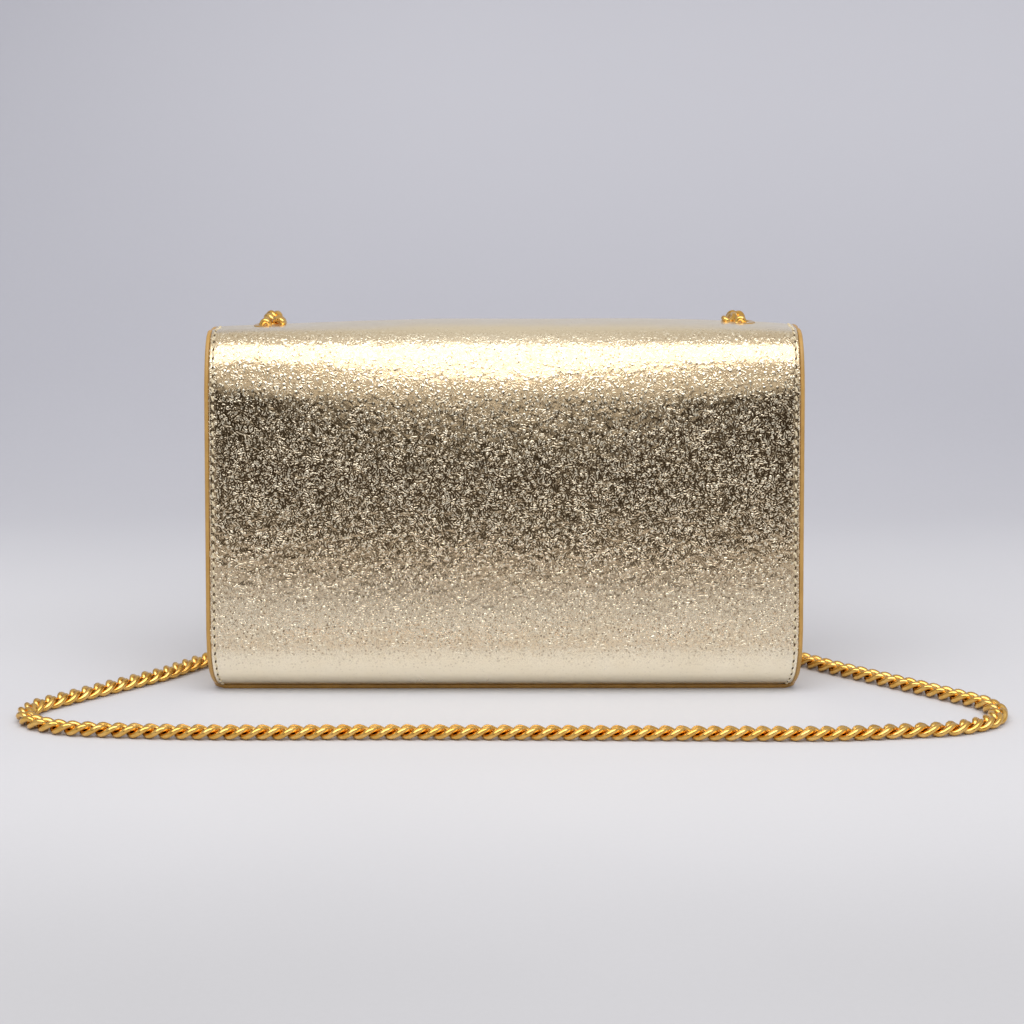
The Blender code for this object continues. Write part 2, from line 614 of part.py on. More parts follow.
def eyelets_and_links():
    """The eyelets, their washers, and the links and bar that end the strap inside the bag."""
    barrel, bore = EYELET_BARREL_RADIUS, EYELET_BARREL_RADIUS - EYELET_WALL
    flange = EYELET_FLANGE_RADIUS
    deep = EYELET_BASE - BARREL_FOOT
    profile = ((flange - EDGE_BEVEL, EYELET_FLANGE), (flange, EYELET_FLANGE - EDGE_BEVEL),
               (flange, 0), (barrel, 0), (barrel, -deep), (bore, -deep),
               (bore, EYELET_FLANGE - EDGE_BEVEL), (bore + EDGE_BEVEL, EYELET_FLANGE))
    washer_bore = barrel + FIT
    ring = ((flange, 0), (flange, -EYELET_WASHER), (washer_bore, -EYELET_WASHER), (washer_bore, 0))
    wire = LINK_WIRE / 2
    bar_z = BARREL_FOOT - FIT - ANCHOR_BAR_RADIUS
    link_foot = bar_z - ANCHOR_BAR_RADIUS - FIT - wire
    flat_z = EYELET_TOP + FIT + wire
    link_head = flat_z + wire + FIT + wire
    turn_x, turn_y, turn_z = (Matrix.Rotation(pi / 2, 4, axis) for axis in "XYZ")
    for label, side in (("left", -1), ("right", 1)):
        x = side * EYELET_OFFSET
        turned("eyelet_" + label, YELLOW_GOLD, profile,
               Matrix.Translation((x, CREST_Y, EYELET_BASE)))
        turned("eyelet_washer_" + label, YELLOW_GOLD, ring,
               Matrix.Translation((x, CREST_Y, WASHER_TOP)))
        bar = add_object("anchor_bar_" + label, cylinder_mesh(
            "anchor_bar_" + label, ANCHOR_BAR_RADIUS, ANCHOR_BAR_LENGTH, turn_y), YELLOW_GOLD)
        bar.location = (x, CREST_Y, bar_z)
        link("drop_link_" + label, link_head - link_foot, LINK_WIDTH, Matrix.Translation(
            (x, CREST_Y, (link_head + link_foot) / 2)) @ turn_z @ turn_x @ turn_z)
        link("top_link_" + label, TOP_LINK_PITCH, LINK_WIDTH, Matrix.Translation(
            (x, CREST_Y + TOP_LINK_PITCH / 2, flat_z)) @ turn_z)
    return flat_z


def smooth_route(points, count):
    """Evenly spaced points on a Catmull-Rom curve through the route."""
    points = [Vector(p) for p in points]
    ends = [2 * points[0] - points[1], *points, 2 * points[-1] - points[-2]]
    fine = []
    for a, b, c, d in zip(ends, ends[1:], ends[2:], ends[3:]):
        for step in range(ROUTE_PARTS):
            t = step / ROUTE_PARTS
            fine.append(((2 * b) + (c - a) * t + (2 * a - 5 * b + 4 * c - d) * t ** 2
                         + (3 * b - a - 3 * c + d) * t ** 3) / 2)
    fine.append(points[-1])
    gone = [0]
    for first, second in zip(fine, fine[1:]):
        gone.append(gone[-1] + (second - first).length)
    line = np.array(fine)
    places = np.linspace(0, gone[-1], count)
    even = [[float(np.interp(place, gone, line[:, axis])) for axis in (0, 1, 2)]
            for place in places]
    return even, gone[-1]


def chain_strap(link_z):
    """The strap's free length, from one top link round the floor to the other."""
    begin = CREST_Y + TOP_LINK_PITCH + LINK_WIRE / 2 + FIT
    head = (EYELET_OFFSET, begin, link_z)
    fall = (head, *FALL_ROUTE)
    left = [(-x, y, z) for x, y, z in fall]
    floor_part = [(x, y, CHAIN_LIE) for x, y in FLOOR_ROUTE]
    route, length = smooth_route([*left, *floor_part, *reversed(fall)], CHAIN_SAMPLES)
    curve = bpy.data.curves.new("chain_strap", "CURVE")
    curve.dimensions = "3D"
    curve.bevel_depth = CHAIN_THICKNESS / 2
    curve.bevel_resolution = 2
    curve.use_fill_caps = True
    spline = curve.splines.new("POLY")
    spline.points.add(len(route) - 1)
    for point, place in zip(spline.points, route):
        point.co = (*place, 1)
    curve.materials.append(YELLOW_GOLD)
    made = bpy.data.objects.new("chain_strap", curve)
    BAG.objects.link(made)
    print(f"chain_strap is {length:.3f} m long")
    return made


def hang_on_fold(pieces):
    """Parents the flap's pieces to an empty on the fold's axis, where they are."""
    fold = bpy.data.objects.new("flap_fold", None)
    BAG.objects.link(fold)
    fold.location = (0, HINGE_Y, HINGE_Z)
    for piece in pieces:
        piece.parent = fold
        piece.matrix_parent_inverse = Matrix.Translation((0, -HINGE_Y, -HINGE_Z))


eyelet_tools = eyelet_cutters()
front_shank, front_washer, flap_shank, flap_washer = snap_holes()
back_wrap(eyelet_tools)
front_panel(eyelet_tools, front_shank)
body_lining(eyelet_tools)
boards(front_washer)
gussets()
slip_pocket()
flap_parts = flap_pieces(flap_shank, flap_washer)
stud_parts = snap(front_shank, flap_shank)
hang_on_fold((*flap_parts, *stud_parts))
chain_strap(eyelets_and_links())
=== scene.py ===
# %% [markdown]
# # An evening bag of metallic leather, seen from behind
#
# The CAD model is already a whole bag: leather panels, boards, linings, hardware and a strap with
# real sizes. This lesson dresses it. Soft parts get a fuller mesh than their CAD solids, hard parts
# keep their solids or get a smoother twin, and every surface gets a finish made from nodes.
#
# Everything is in metres. The bag stands on its base, its back towards -Y and its flap towards +Y.

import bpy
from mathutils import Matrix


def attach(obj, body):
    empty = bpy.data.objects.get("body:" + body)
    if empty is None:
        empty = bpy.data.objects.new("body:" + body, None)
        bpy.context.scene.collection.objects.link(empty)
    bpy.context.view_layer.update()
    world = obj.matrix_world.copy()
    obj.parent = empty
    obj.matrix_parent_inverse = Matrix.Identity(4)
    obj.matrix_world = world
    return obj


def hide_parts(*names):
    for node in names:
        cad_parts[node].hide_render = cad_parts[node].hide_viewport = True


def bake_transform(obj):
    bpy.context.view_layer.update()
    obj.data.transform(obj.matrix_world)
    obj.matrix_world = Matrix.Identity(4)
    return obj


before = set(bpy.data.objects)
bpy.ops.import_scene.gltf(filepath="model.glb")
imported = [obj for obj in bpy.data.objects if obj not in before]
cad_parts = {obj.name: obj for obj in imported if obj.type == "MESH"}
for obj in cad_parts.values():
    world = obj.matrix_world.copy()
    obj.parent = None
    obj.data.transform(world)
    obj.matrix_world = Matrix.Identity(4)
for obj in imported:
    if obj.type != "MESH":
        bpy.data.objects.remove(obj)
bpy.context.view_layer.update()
print("the packed bag has", len(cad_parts), "nodes")

# %% Modules
from math import asin, cos, hypot, pi, radians, sin, sqrt

import bpy
import numpy as np
from mathutils import Vector

print("Blender", bpy.app.version_string, "with NumPy", np.__version__)

# %% [markdown]
# ## The camera
#
# The photograph is a straight look at the back from a little above. Lines that recede hardly
# converge, so the lens is long and stands about 1.1 m away. The place and tilt were solved from the
# floor line of the strap, the width of the bag and the height of its crest.

# %% Camera
CAMERA_PLACE = (0, -1.1275, 0.3058)
CAMERA_DOWN = radians(11.8155)
CAMERA_TURN = radians(-0.152)
CAMERA_LENS_MM = 99.5
SENSOR_MM = 36

camera_data = bpy.data.cameras.new("photo_camera")
camera_data.lens = CAMERA_LENS_MM
camera_data.sensor_width = SENSOR_MM
camera = bpy.data.objects.new("photo_camera", camera_data)
camera.location = CAMERA_PLACE
camera.rotation_euler = (pi / 2 - CAMERA_DOWN, 0, CAMERA_TURN)
bpy.context.scene.collection.objects.link(camera)
bpy.context.scene.camera = camera
print("camera at", CAMERA_PLACE)

# %% [markdown]
# ## Sizes that the source shares
#
# These are the values of part.py that the dressed pieces need. The bag's side view is a line that
# starts at the foot of the back, goes up, rolls over the top and comes down the front as the flap.

# %% Sizes
BAG_WIDTH = 0.240
TOP_NARROWING = 0.004
BAG_HEIGHT = 0.148
BAG_DEPTH = 0.055
BACK_FOOT_RADIUS = 0.020
BACK_TOP_RADIUS = 0.026
FRONT_TOP_RADIUS = 0.0185
FRONT_FOOT_RADIUS = 0.010
CROWN_SLOPE = radians(8)
LEATHER = 0.0014
BOARD = 0.0015
FLAP_BOARD = 0.0008
LINING = 0.0006
FIT = 0.0003
EDGE_LIP = 0.0006
FLAP_TIP_HEIGHT = 0.035
FLAP_CORNER = 0.024
FLAP_EDGE_MARGIN = 0.003
FLAP_THROAT_MARGIN = 0.002
MOUTH_HEIGHT = 0.115
MOUTH_CORNER = 0.010
FLAP_HALF_WIDTH = 0.084
MOUTH_HALF_WIDTH = 0.076
EAR_TUCK = radians(25)
GUSSET = 0.0012
GUSSET_INSET = 0.0015
GUSSET_FOLD = 0.008
GUSSET_FLANGE_SHARE = 0.2
GUSSET_TOP_PLAY = 0.0006
GUSSET_LINING = 0.0005
GUSSET_LINING_PLAY = 0.0018
FOLD_START = 0.012
FOLD_FULL = 0.090
LINING_INSET = 0.006
POCKET_WIDTH = 0.130
POCKET_FOOT = 0.040
POCKET_TOP = 0.100
POCKET_GAPE = 0.008
EYELET_OFFSET = 0.094
SNAP_ROOM = 0.0032
print(f"the bag is {BAG_WIDTH * 1000:.0f} x {BAG_DEPTH * 1000:.0f} x {BAG_HEIGHT * 1000:.0f} mm")

# %% Places worked out from the sizes, as in the source
HALF_DEPTH = BAG_DEPTH / 2
UNDER_WRAP = LEATHER + FIT
LINING_DEPTH = LEATHER + FIT + BOARD + FIT
CABIN_DEPTH = LINING_DEPTH + LINING + FIT
FLAP_STACK = LEATHER + FIT + FLAP_BOARD + FIT + LINING
FRONT_FACE = HALF_DEPTH - FLAP_STACK - SNAP_ROOM
BACK_ROLL_REACH = BACK_TOP_RADIUS * (1 - sin(CROWN_SLOPE))
FRONT_ROLL_REACH = FRONT_TOP_RADIUS * (1 - sin(CROWN_SLOPE))
CROWN_RADIUS = (BAG_DEPTH - BACK_ROLL_REACH - FRONT_ROLL_REACH) / (2 * sin(CROWN_SLOPE))
CROWN_RISE = CROWN_RADIUS * (1 - cos(CROWN_SLOPE))
TOP_CENTRE_Y = -HALF_DEPTH + BACK_TOP_RADIUS
TOP_CENTRE_Z = BAG_HEIGHT - CROWN_RISE - BACK_TOP_RADIUS * cos(CROWN_SLOPE)
HINGE_Y = HALF_DEPTH - FRONT_ROLL_REACH
HINGE_Z = BAG_HEIGHT - CROWN_RISE
CREST_Y = HINGE_Y - CROWN_RADIUS * sin(CROWN_SLOPE)
FOOT_ANGLE = asin(1 - UNDER_WRAP / BACK_FOOT_RADIUS)
FOOT_Y = -HALF_DEPTH + BACK_FOOT_RADIUS * (1 - cos(FOOT_ANGLE))
print(f"fold at y {HINGE_Y * 1000:.1f} mm, z {HINGE_Z * 1000:.1f} mm")

# %% [markdown]
# ## The curb-chain strap
#
# A curb chain is one link repeated: an oval of wire that is twisted about the chain's own line, so
# that every link lies flat beside the next. One link is made as a list of rings round a twisted
# oval and copied along the strap's route. A real mesh is needed here, because the light gets in
# between the links. The route is the source's, except for the first bend at each eyelet, which
# the photograph shows a little lower.

# %% The strap's route
CHAIN_LIE = 0.0027
TOP_LINK_PITCH = 0.008
LINK_WIRE = 0.0016
TOP_LINK_HEIGHT = BAG_HEIGHT - 0.0010
FLOOR_ROUTE = (
    (-0.1256, 0.0190), (-0.1330, 0.0085), (-0.1414, -0.0039), (-0.1607, -0.0247),
    (-0.1759, -0.0412), (-0.1839, -0.0510), (-0.1868, -0.0620), (-0.1830, -0.0723),
    (-0.1734, -0.0795), (-0.1600, -0.0836), (-0.1267, -0.0872), (-0.0932, -0.0881),
    (-0.0399, -0.0879), (0.0364, -0.0892), (0.1048, -0.0904), (0.1290, -0.0900),
    (0.1527, -0.0869), (0.1728, -0.0830), (0.1869, -0.0745), (0.1925, -0.0640),
    (0.1918, -0.0545), (0.1880, -0.0460), (0.1732, -0.0302), (0.1509, -0.0078),
    (0.1360, 0.0072), (0.1256, 0.0190),
)
FALL_ROUTE = (
    (0.0940, CREST_Y + TOP_LINK_PITCH + LINK_WIRE / 2 + FIT, TOP_LINK_HEIGHT),
    (0.0940, 0.0172, 0.1474), (0.0940, 0.0212, 0.1459), (0.0940, 0.0240, 0.1430),
    (0.0940, 0.0252, 0.1385), (0.0940, 0.0254, 0.1200), (0.0940, 0.0254, 0.0900),
    (0.0942, 0.0254, 0.0600), (0.0944, 0.0254, 0.0300), (0.0950, 0.0254, 0.0175),
    (0.0968, 0.0255, 0.0105), (0.1005, 0.0258, 0.0058), (0.1060, 0.0262, 0.0033),
    (0.1125, 0.0262, CHAIN_LIE), (0.1195, 0.0240, CHAIN_LIE),
)
FALL_FACES_OUT = (0.0, 0.5, 0.85, 1, 1, 1, 1, 1, 1, 1, 0.9, 0.7, 0.35, 0.05, 0)
print("the route has", 2 * len(FALL_ROUTE) + len(FLOOR_ROUTE), "points")

# %% A smooth line through the route
ROUTE_PARTS = 12


def smooth_route(points):
    """Close points on a Catmull-Rom curve, with how far along the points each one is."""
    points = [np.array(p) for p in points]
    ends = [2 * points[0] - points[1], *points, 2 * points[-1] - points[-2]]
    fine, along = [], []
    for index, (a, b, c, d) in enumerate(zip(ends, ends[1:], ends[2:], ends[3:])):
        for step in range(ROUTE_PARTS):
            t = step / ROUTE_PARTS
            fine.append(((2 * b) + (c - a) * t + (2 * a - 5 * b + 4 * c - d) * t ** 2
                         + (3 * b - a - 3 * c + d) * t ** 3) / 2)
            along.append(index + t)
    fine.append(points[-1])
    along.append(len(points) - 1)
    return np.array(fine), np.array(along)


mirrored_fall = [(-x, y, z) for x, y, z in FALL_ROUTE]
route_points = [*mirrored_fall, *((x, y, CHAIN_LIE) for x, y in FLOOR_ROUTE),
                *reversed(FALL_ROUTE)]
strap_line, strap_places = smooth_route(route_points)
strap_gone = np.concatenate(([0], np.cumsum(np.linalg.norm(np.diff(strap_line, axis=0), axis=1))))
strap_length = strap_gone[-1]
faces_out = [*FALL_FACES_OUT, *([0] * len(FLOOR_ROUTE)), *reversed(FALL_FACES_OUT)]
strap_faces_out = np.interp(strap_places, range(len(faces_out)), faces_out)
print(f"the strap is {strap_length:.3f} m long")

# %% A twisted oval
LINK_PITCH = 0.00615
CURB_WIRE = 0.0026
CURB_WIDTH = 0.0079
CURB_TWIST = radians(-60)
OVAL_FULLNESS = 0.12
RINGS = 30


def twisted_oval(length, width, twist):
    """Centre points of a link's wire: an oval along X that twists about X."""
    points = []
    for step in range(RINGS):
        turn = 2 * pi * step / RINGS
        share = cos(turn)
        across = width / 2 * sin(turn) * (1 + OVAL_FULLNESS * share ** 2)
        lean = twist * share
        points.append((length / 2 * share, across * cos(lean), across * sin(lean)))
    return np.array(points)


oval = twisted_oval(LINK_PITCH + CURB_WIRE, CURB_WIDTH - CURB_WIRE, CURB_TWIST)
print("the oval reaches", (np.ptp(oval, axis=0) * 1000).round(1), "mm between wire centres")

# %% One curb link
CURB_FLATTENED = 0.92
RING_SIDES = 10


def ring_faces(rings, sides):
    """Faces that join rings of vertices, the last ring to the first."""
    faces = []
    for ring in range(rings):
        after = (ring + 1) % rings
        for spoke in range(sides):
            beside = (spoke + 1) % sides
            faces.append((ring * sides + spoke, ring * sides + beside,
                          after * sides + beside, after * sides + spoke))
    return faces


def wire_ring(points, radius, flatten, twist):
    """Vertices and faces of a round wire that closes on itself through the points."""
    count = len(points)
    ahead = np.roll(points, -1, axis=0) - np.roll(points, 1, axis=0)
    ahead /= np.linalg.norm(ahead, axis=1)[:, None]
    reach = np.abs(points[:, 0]).max()
    lean = twist * points[:, 0] / reach
    up = np.stack([np.zeros(count), -np.sin(lean), np.cos(lean)], axis=1)
    side = np.cross(ahead, up)
    side /= np.linalg.norm(side, axis=1)[:, None]
    up = np.cross(side, ahead)
    verts = []
    for index in range(count):
        for spoke in range(RING_SIDES):
            turn = 2 * pi * spoke / RING_SIDES
            verts.append(points[index] + radius * (cos(turn) * side[index]
                                                   + flatten * sin(turn) * up[index]))
    return np.array(verts), np.array(ring_faces(count, RING_SIDES))


link_verts, link_faces = wire_ring(oval, CURB_WIRE / 2, CURB_FLATTENED, CURB_TWIST)
print("one link has", len(link_faces), "faces; it is",
      (np.ptp(link_verts, axis=0) * 1000).round(1), "mm")

# %% The links along the route
scene_collection = bpy.context.scene.collection


def new_object(name, verts, faces):
    """An object from plain lists, with smooth shading."""
    mesh = bpy.data.meshes.new(name)
    mesh.from_pydata([tuple(v) for v in verts], [], [tuple(int(i) for i in f) for f in faces])
    mesh.validate()
    mesh.shade_smooth()
    made = bpy.data.objects.new(name, mesh)
    scene_collection.objects.link(made)
    return made


def strap_frame(gone):
    """Place, direction, side and face of the strap, this far along it."""
    place = np.array([np.interp(gone, strap_gone, strap_line[:, axis]) for axis in range(3)])
    before, after = (np.array([np.interp(at, strap_gone, strap_line[:, axis])
                               for axis in range(3)])
                     for at in (gone - LINK_PITCH / 2, gone + LINK_PITCH / 2))
    ahead = (after - before) / np.linalg.norm(after - before)
    out = np.interp(gone, strap_gone, strap_faces_out)
    face = np.array([0, out, 1 - out])
    face -= ahead * face.dot(ahead)
    face /= np.linalg.norm(face)
    return place, ahead, np.cross(face, ahead), face


link_count = round(strap_length / LINK_PITCH)
real_pitch = strap_length / link_count
all_verts, all_faces = [], []
for index in range(link_count):
    place, ahead, side, face = strap_frame((index + 0.5) * real_pitch)
    turned = link_verts @ np.array([ahead, side, face])
    all_faces.append(link_faces + index * len(link_verts))
    all_verts.append(turned + place)
curb_strap = new_object("curb_strap", np.concatenate(all_verts), np.concatenate(all_faces))
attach(curb_strap, "root")
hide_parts("chain_strap")
print("the strap has", link_count, "links, one every", round(real_pitch * 1000, 2), "mm")

# %% [markdown]
# ## Lines that the sheets follow
#
# Seen from the side, each sheet of the bag is a line of straights and arcs. A line is walked like
# a turtle: it only goes straight or turns right, and the bag's inside is always on its right. Any
# place on a sheet is then how far along the line it is and how far across the bag.

# %% Walking a line
ARC_STEP = radians(4)


def walk(start, heading, moves):
    """Stations (gone, y, z, heading) of a line; a move is (0, length) or (radius, angle)."""
    (y, z), gone = start, 0
    stations = [(gone, y, z, heading)]
    for radius, amount in moves:
        if radius == 0:
            y, z, gone = y + amount * cos(heading), z + amount * sin(heading), gone + amount
            stations.append((gone, y, z, heading))
            continue
        centre_y, centre_z = y + radius * sin(heading), z - radius * cos(heading)
        steps = max(1, round(amount / ARC_STEP))
        for step in range(1, steps + 1):
            now = heading - amount * step / steps
            y, z = centre_y - radius * sin(now), centre_z + radius * cos(now)
            stations.append((gone + radius * amount * step / steps, y, z, now))
        gone, heading = gone + radius * amount, now
    return np.array(stations)


def station(line, gone):
    """The point (y, z) and heading of a line this far along it, carried on straight at its ends."""
    y, z, heading = (np.interp(gone, line[:, 0], line[:, column]) for column in (1, 2, 3))
    over = gone - min(max(gone, line[0, 0]), line[-1, 0])
    return y + over * cos(heading), z + over * sin(heading), heading


def on_sheet(line, x, gone, lift=0.0):
    """The place on a sheet: across the bag, along its line, and raised off its face."""
    y, z, heading = station(line, gone)
    return Vector((x, y - lift * sin(heading), z + lift * cos(heading)))


quarter = walk((0, 0), 0, ((BACK_FOOT_RADIUS, pi / 2),))
print("a quarter turn at the foot is walked in", len(quarter) - 1, "steps")


# %% The wrap's line
def half_width(z, inset=0):
    """Half the bag's width at a height, less an inset."""
    return (BAG_WIDTH - TOP_NARROWING * z / BAG_HEIGHT) / 2 - inset


def ease(value, low, high):
    """0 below low, 1 above high, and smooth between."""
    share = min(1, max(0, (value - low) / (high - low)))
    return share * share * (3 - 2 * share)


wrap_line = walk(
    (FOOT_Y, BACK_FOOT_RADIUS * (1 - sin(FOOT_ANGLE))), pi / 2 + FOOT_ANGLE,
    ((BACK_FOOT_RADIUS, FOOT_ANGLE), (0, TOP_CENTRE_Z - BACK_FOOT_RADIUS),
     (BACK_TOP_RADIUS, pi / 2 - CROWN_SLOPE), (CROWN_RADIUS, 2 * CROWN_SLOPE),
     (FRONT_TOP_RADIUS, pi / 2 - CROWN_SLOPE),
     (0, HINGE_Z - FRONT_TOP_RADIUS * cos(CROWN_SLOPE) - FLAP_TIP_HEIGHT)))
FOLD_GONE = (BACK_FOOT_RADIUS * FOOT_ANGLE + TOP_CENTRE_Z - BACK_FOOT_RADIUS
             + BACK_TOP_RADIUS * (pi / 2 - CROWN_SLOPE) + CROWN_RADIUS * 2 * CROWN_SLOPE)
CREST_GONE = FOLD_GONE - CROWN_RADIUS * CROWN_SLOPE
TIP_GONE = wrap_line[-1, 0]
print(f"the wrap and flap are {TIP_GONE * 1000:.0f} mm from foot to tip,",
      f"with the fold at {FOLD_GONE * 1000:.0f} mm")

# %% [markdown]
# ## How the leather sits
#
# Leather over a board is never flat. It stands a little proud in the middle of a face, is pulled
# down along its sewn edges, and the crest sinks towards its ends where the eyelets pull on it. All
# of that is one number for each place on the sheet: how far it is raised off the plain line.

# %% Raised and sunk places of the wrap
BELLY = ((0, 0), (0.010, 0.0012), (0.022, 0.0022), (0.036, 0.0026), (0.060, 0.0022),
         (0.080, 0.0019), (0.100, 0.0016), (0.120, 0.0013), (0.140, 0.0010), (0.160, 0.0008),
         (0.172, 0.0005), (0.186, 0))
SHOULDER = ((0, 0), (0.092, 0), (0.098, -0.00005), (0.104, -0.0002), (0.110, -0.0004),
            (0.118, -0.00088), (0.122, -0.00123), (0.1265, -0.00177), (0.1295, -0.0022),
            (0.132, -0.0025), (0.1355, -0.00268), (0.140, -0.0024), (0.146, -0.0017),
            (0.152, -0.00085), (0.158, -0.0002), (0.160, 0))
END_ROLL = ((0, 0), (0.131, 0), (0.1355, 0.0006), (0.138, 0.00115), (0.140, 0.0017),
            (0.1446, 0.0026), (0.1514, 0.0023), (0.158, 0.0012), (0.1627, 0.00045), (0.167, 0))
SINK_LEFT = ((0.030, 0), (0.048, 0.0006), (0.060, 0.0010), (0.0755, 0.0015), (0.0985, 0.0022),
             (0.1135, 0.0028))
SINK_RIGHT = ((0.055, 0), (0.077, 0.0003), (0.086, 0.0007), (0.1025, 0.0011), (0.110, 0.0015),
              (0.1155, 0.0019))
EDGE_BEAD = 0.0016
STITCH_INSET = 0.0017
STITCH_GROOVE = 0.00022
GROOVE_WIDTH = 0.0011
EDGE_DROP = 0.00025
HANG = 0.0005
UNEVENNESS = 0.00013
TABLE_STEP = 0.0005
TABLE_MARGIN = 0.03


def smoothed(points, reach):
    """Values at even steps of a line through points, with its bends rounded off."""
    places = np.arange(points[0][0] - TABLE_MARGIN, points[-1][0] + TABLE_MARGIN, TABLE_STEP)
    values = np.interp(places, *zip(*points))
    window = np.hanning(2 * round(reach / TABLE_STEP) + 1)
    return places, np.convolve(values, window / window.sum(), mode="same")


belly_line = smoothed(BELLY, 0.009)
shoulder_line = smoothed(SHOULDER, 0.005)
end_roll_line = smoothed(END_ROLL, 0.004)
sink_lines = {-1: smoothed(SINK_LEFT, 0.010), 1: smoothed(SINK_RIGHT, 0.010)}
print(f"the belly stands {belly_line[1].max() * 1000:.1f} mm proud")


# %% How far the leather is raised
def waver(x, gone):
    """Slow unevenness of hand-laid leather, about -1 to 1."""
    return (sin(x * 61 + 1.3) * cos(gone * 83 + 0.4) + 0.7 * sin(x * 118 - gone * 67 + 2.1)
            + 0.5 * sin(x * 37 + gone * 151 + 4.0)) / 2.2


def crest_sink(x):
    """How far the crest has sunk at this place across the bag."""
    side = -1 if x < 0 else 1
    table = SINK_LEFT if x < 0 else SINK_RIGHT
    return float(np.interp(min(abs(x), table[-1][0]), *sink_lines[side]))


def wrap_lift(x, gone):
    """How far the wrap's leather is raised at a place."""
    share = min(1, abs(x) / half_width(station(wrap_line, gone)[1]))
    down = ease(gone, FOLD_GONE + 0.020, FOLD_GONE + 0.050)
    crest = ease(gone, CREST_GONE - 0.020, CREST_GONE - 0.004)
    crest *= 1 - ease(gone, FOLD_GONE + 0.004, FOLD_GONE + 0.030)
    rise = float(np.interp(gone, *belly_line)) * (1 - share ** 5)
    fall = float(np.interp(gone, *shoulder_line)) * (1 - share ** 1.7)
    fall += float(np.interp(gone, *end_roll_line)) * share ** 1.3 * (1 - 0.4 * share ** 20)
    hang = HANG * down * (1 - min(1, abs(x) / FLAP_HALF_WIDTH) ** 4)
    uneven = UNEVENNESS * waver(x, gone) * (1 - share ** 6) * ease(gone, 0, 0.02)
    return (rise + fall) * ease(gone, 0, 0.004) + hang + uneven - crest_sink(x) * crest


print(f"at 100 mm up the middle of the back it is raised {wrap_lift(0, 0.1) * 1000:.2f} mm")

# %% [markdown]
# ## The pattern
#
# A leatherworker cuts the wrap and flap in one piece: as wide as the bag up to the fold, then
# narrower between the eyelets, with two rounded corners at the tip. The grid below is that
# pattern. Its columns come in three groups, so the two outer groups can end at the fold.

# %% The pattern's outline
FOOT_CORNER = ((0.0, 0.0030), (0.0008, 0.0022), (0.0034, 0.0018), (0.0060, 0.00145),
               (0.0100, 0.0009), (0.0187, 0.0003), (0.0300, 0.0))


def wrap_half(gone):
    """Half the pattern's width up to the fold, with the foot's corners taken off."""
    taken = np.interp(gone, *zip(*FOOT_CORNER))
    return half_width(station(wrap_line, gone)[1]) - taken


def flap_half(gone, inset=0.0):
    """Half the pattern's width past the fold, with the tip's rounded corners, less an inset."""
    past = max(0, gone - (TIP_GONE - FLAP_CORNER))
    corner = FLAP_CORNER - inset
    return FLAP_HALF_WIDTH - FLAP_CORNER + sqrt(max(0, corner ** 2 - past ** 2))


def spaced(low, high, step):
    """Values from low to high, evenly, about step apart."""
    return list(np.linspace(low, high, max(2, round((high - low) / step) + 1)))


print("at its fold the pattern narrows from", round(wrap_half(FOLD_GONE) * 2000), "to",
      round(flap_half(FOLD_GONE) * 2000), "mm")


# %% Sheets
def grid_faces(rows, span, keep=None):
    """Faces between rows of so many vertices; keep(row, column) says which of them are made."""
    faces = []
    for row in range(rows - 1):
        for column in range(span - 1):
            if keep is None or keep(row, column):
                first = row * span + column
                faces.append((first, first + 1, first + span + 1, first + span))
    return faces


def patterned_sheet(name, verts, faces, places, thickness):
    """A sheet with its flat pattern as UVs, thickened inwards."""
    made = new_object(name, verts, faces)
    pattern = made.data.uv_layers.new(name="pattern")
    for loop in made.data.loops:
        pattern.data[loop.index].uv = places[loop.vertex_index]
    shell = made.modifiers.new("thickness", "SOLIDIFY")
    shell.thickness = thickness
    shell.offset = -1
    return made


def sheet_along(name, line, rows, columns_at, lift, thickness, keep=None):
    """A sheet through rows of places on a line, without the cells that keep leaves out."""
    places = [(x, gone) for gone in rows for x in columns_at(gone)]
    span = len(columns_at(rows[0]))
    faces = grid_faces(len(rows), span,
                       keep and (lambda row, column: keep(rows[row], rows[row + 1], column)))
    used = sorted({index for face in faces for index in face})
    renumber = {old: new for new, old in enumerate(used)}
    verts = [on_sheet(line, *places[i], lift(*places[i])) for i in used]
    return patterned_sheet(name, verts, [[renumber[i] for i in face] for face in faces],
                           [places[i] for i in used], thickness)


print("a grid of 3 by 4 vertices has", len(grid_faces(3, 4)), "faces")

# %% The wrap and flap in one sheet
SKIN = LEATHER - 0.0002
MIDDLE_CELLS = 62
MIDDLE_INSETS = (0.0031, 0.0024, 0.0016, 0.0009)
MIDDLE_EDGE_SHARE = 0.955
OUTER_REACH = 0.010
OUTER_INSETS = (0.0070, 0.0048, 0.0034, 0.0026, 0.0017, 0.0008, 0)
EDGE_TURN = 0.0012
EAR_END = FOLD_GONE - EDGE_BEAD


def wrap_columns(gone):
    """Places across the pattern: the middle group between the eyelets, and two outer groups."""
    middle_edge = flap_half(max(gone, FOLD_GONE), EDGE_BEAD)
    shares = np.array(spaced(-1, 1, 2 / MIDDLE_CELLS))
    near = 1 - np.array(MIDDLE_INSETS) / middle_edge
    shares = sorted([*shares[2:-2], *near, *(-near), -1, 1,
                     -MIDDLE_EDGE_SHARE, MIDDLE_EDGE_SHARE])
    middle = [share * middle_edge for share in shares]
    outer_edge = wrap_half(min(gone, FOLD_GONE)) - EDGE_BEAD
    outer = [*np.linspace(middle_edge, outer_edge - OUTER_REACH, 10)[1:],
             *(outer_edge - inset for inset in OUTER_INSETS)]
    return [-x for x in reversed(outer)] + middle + outer


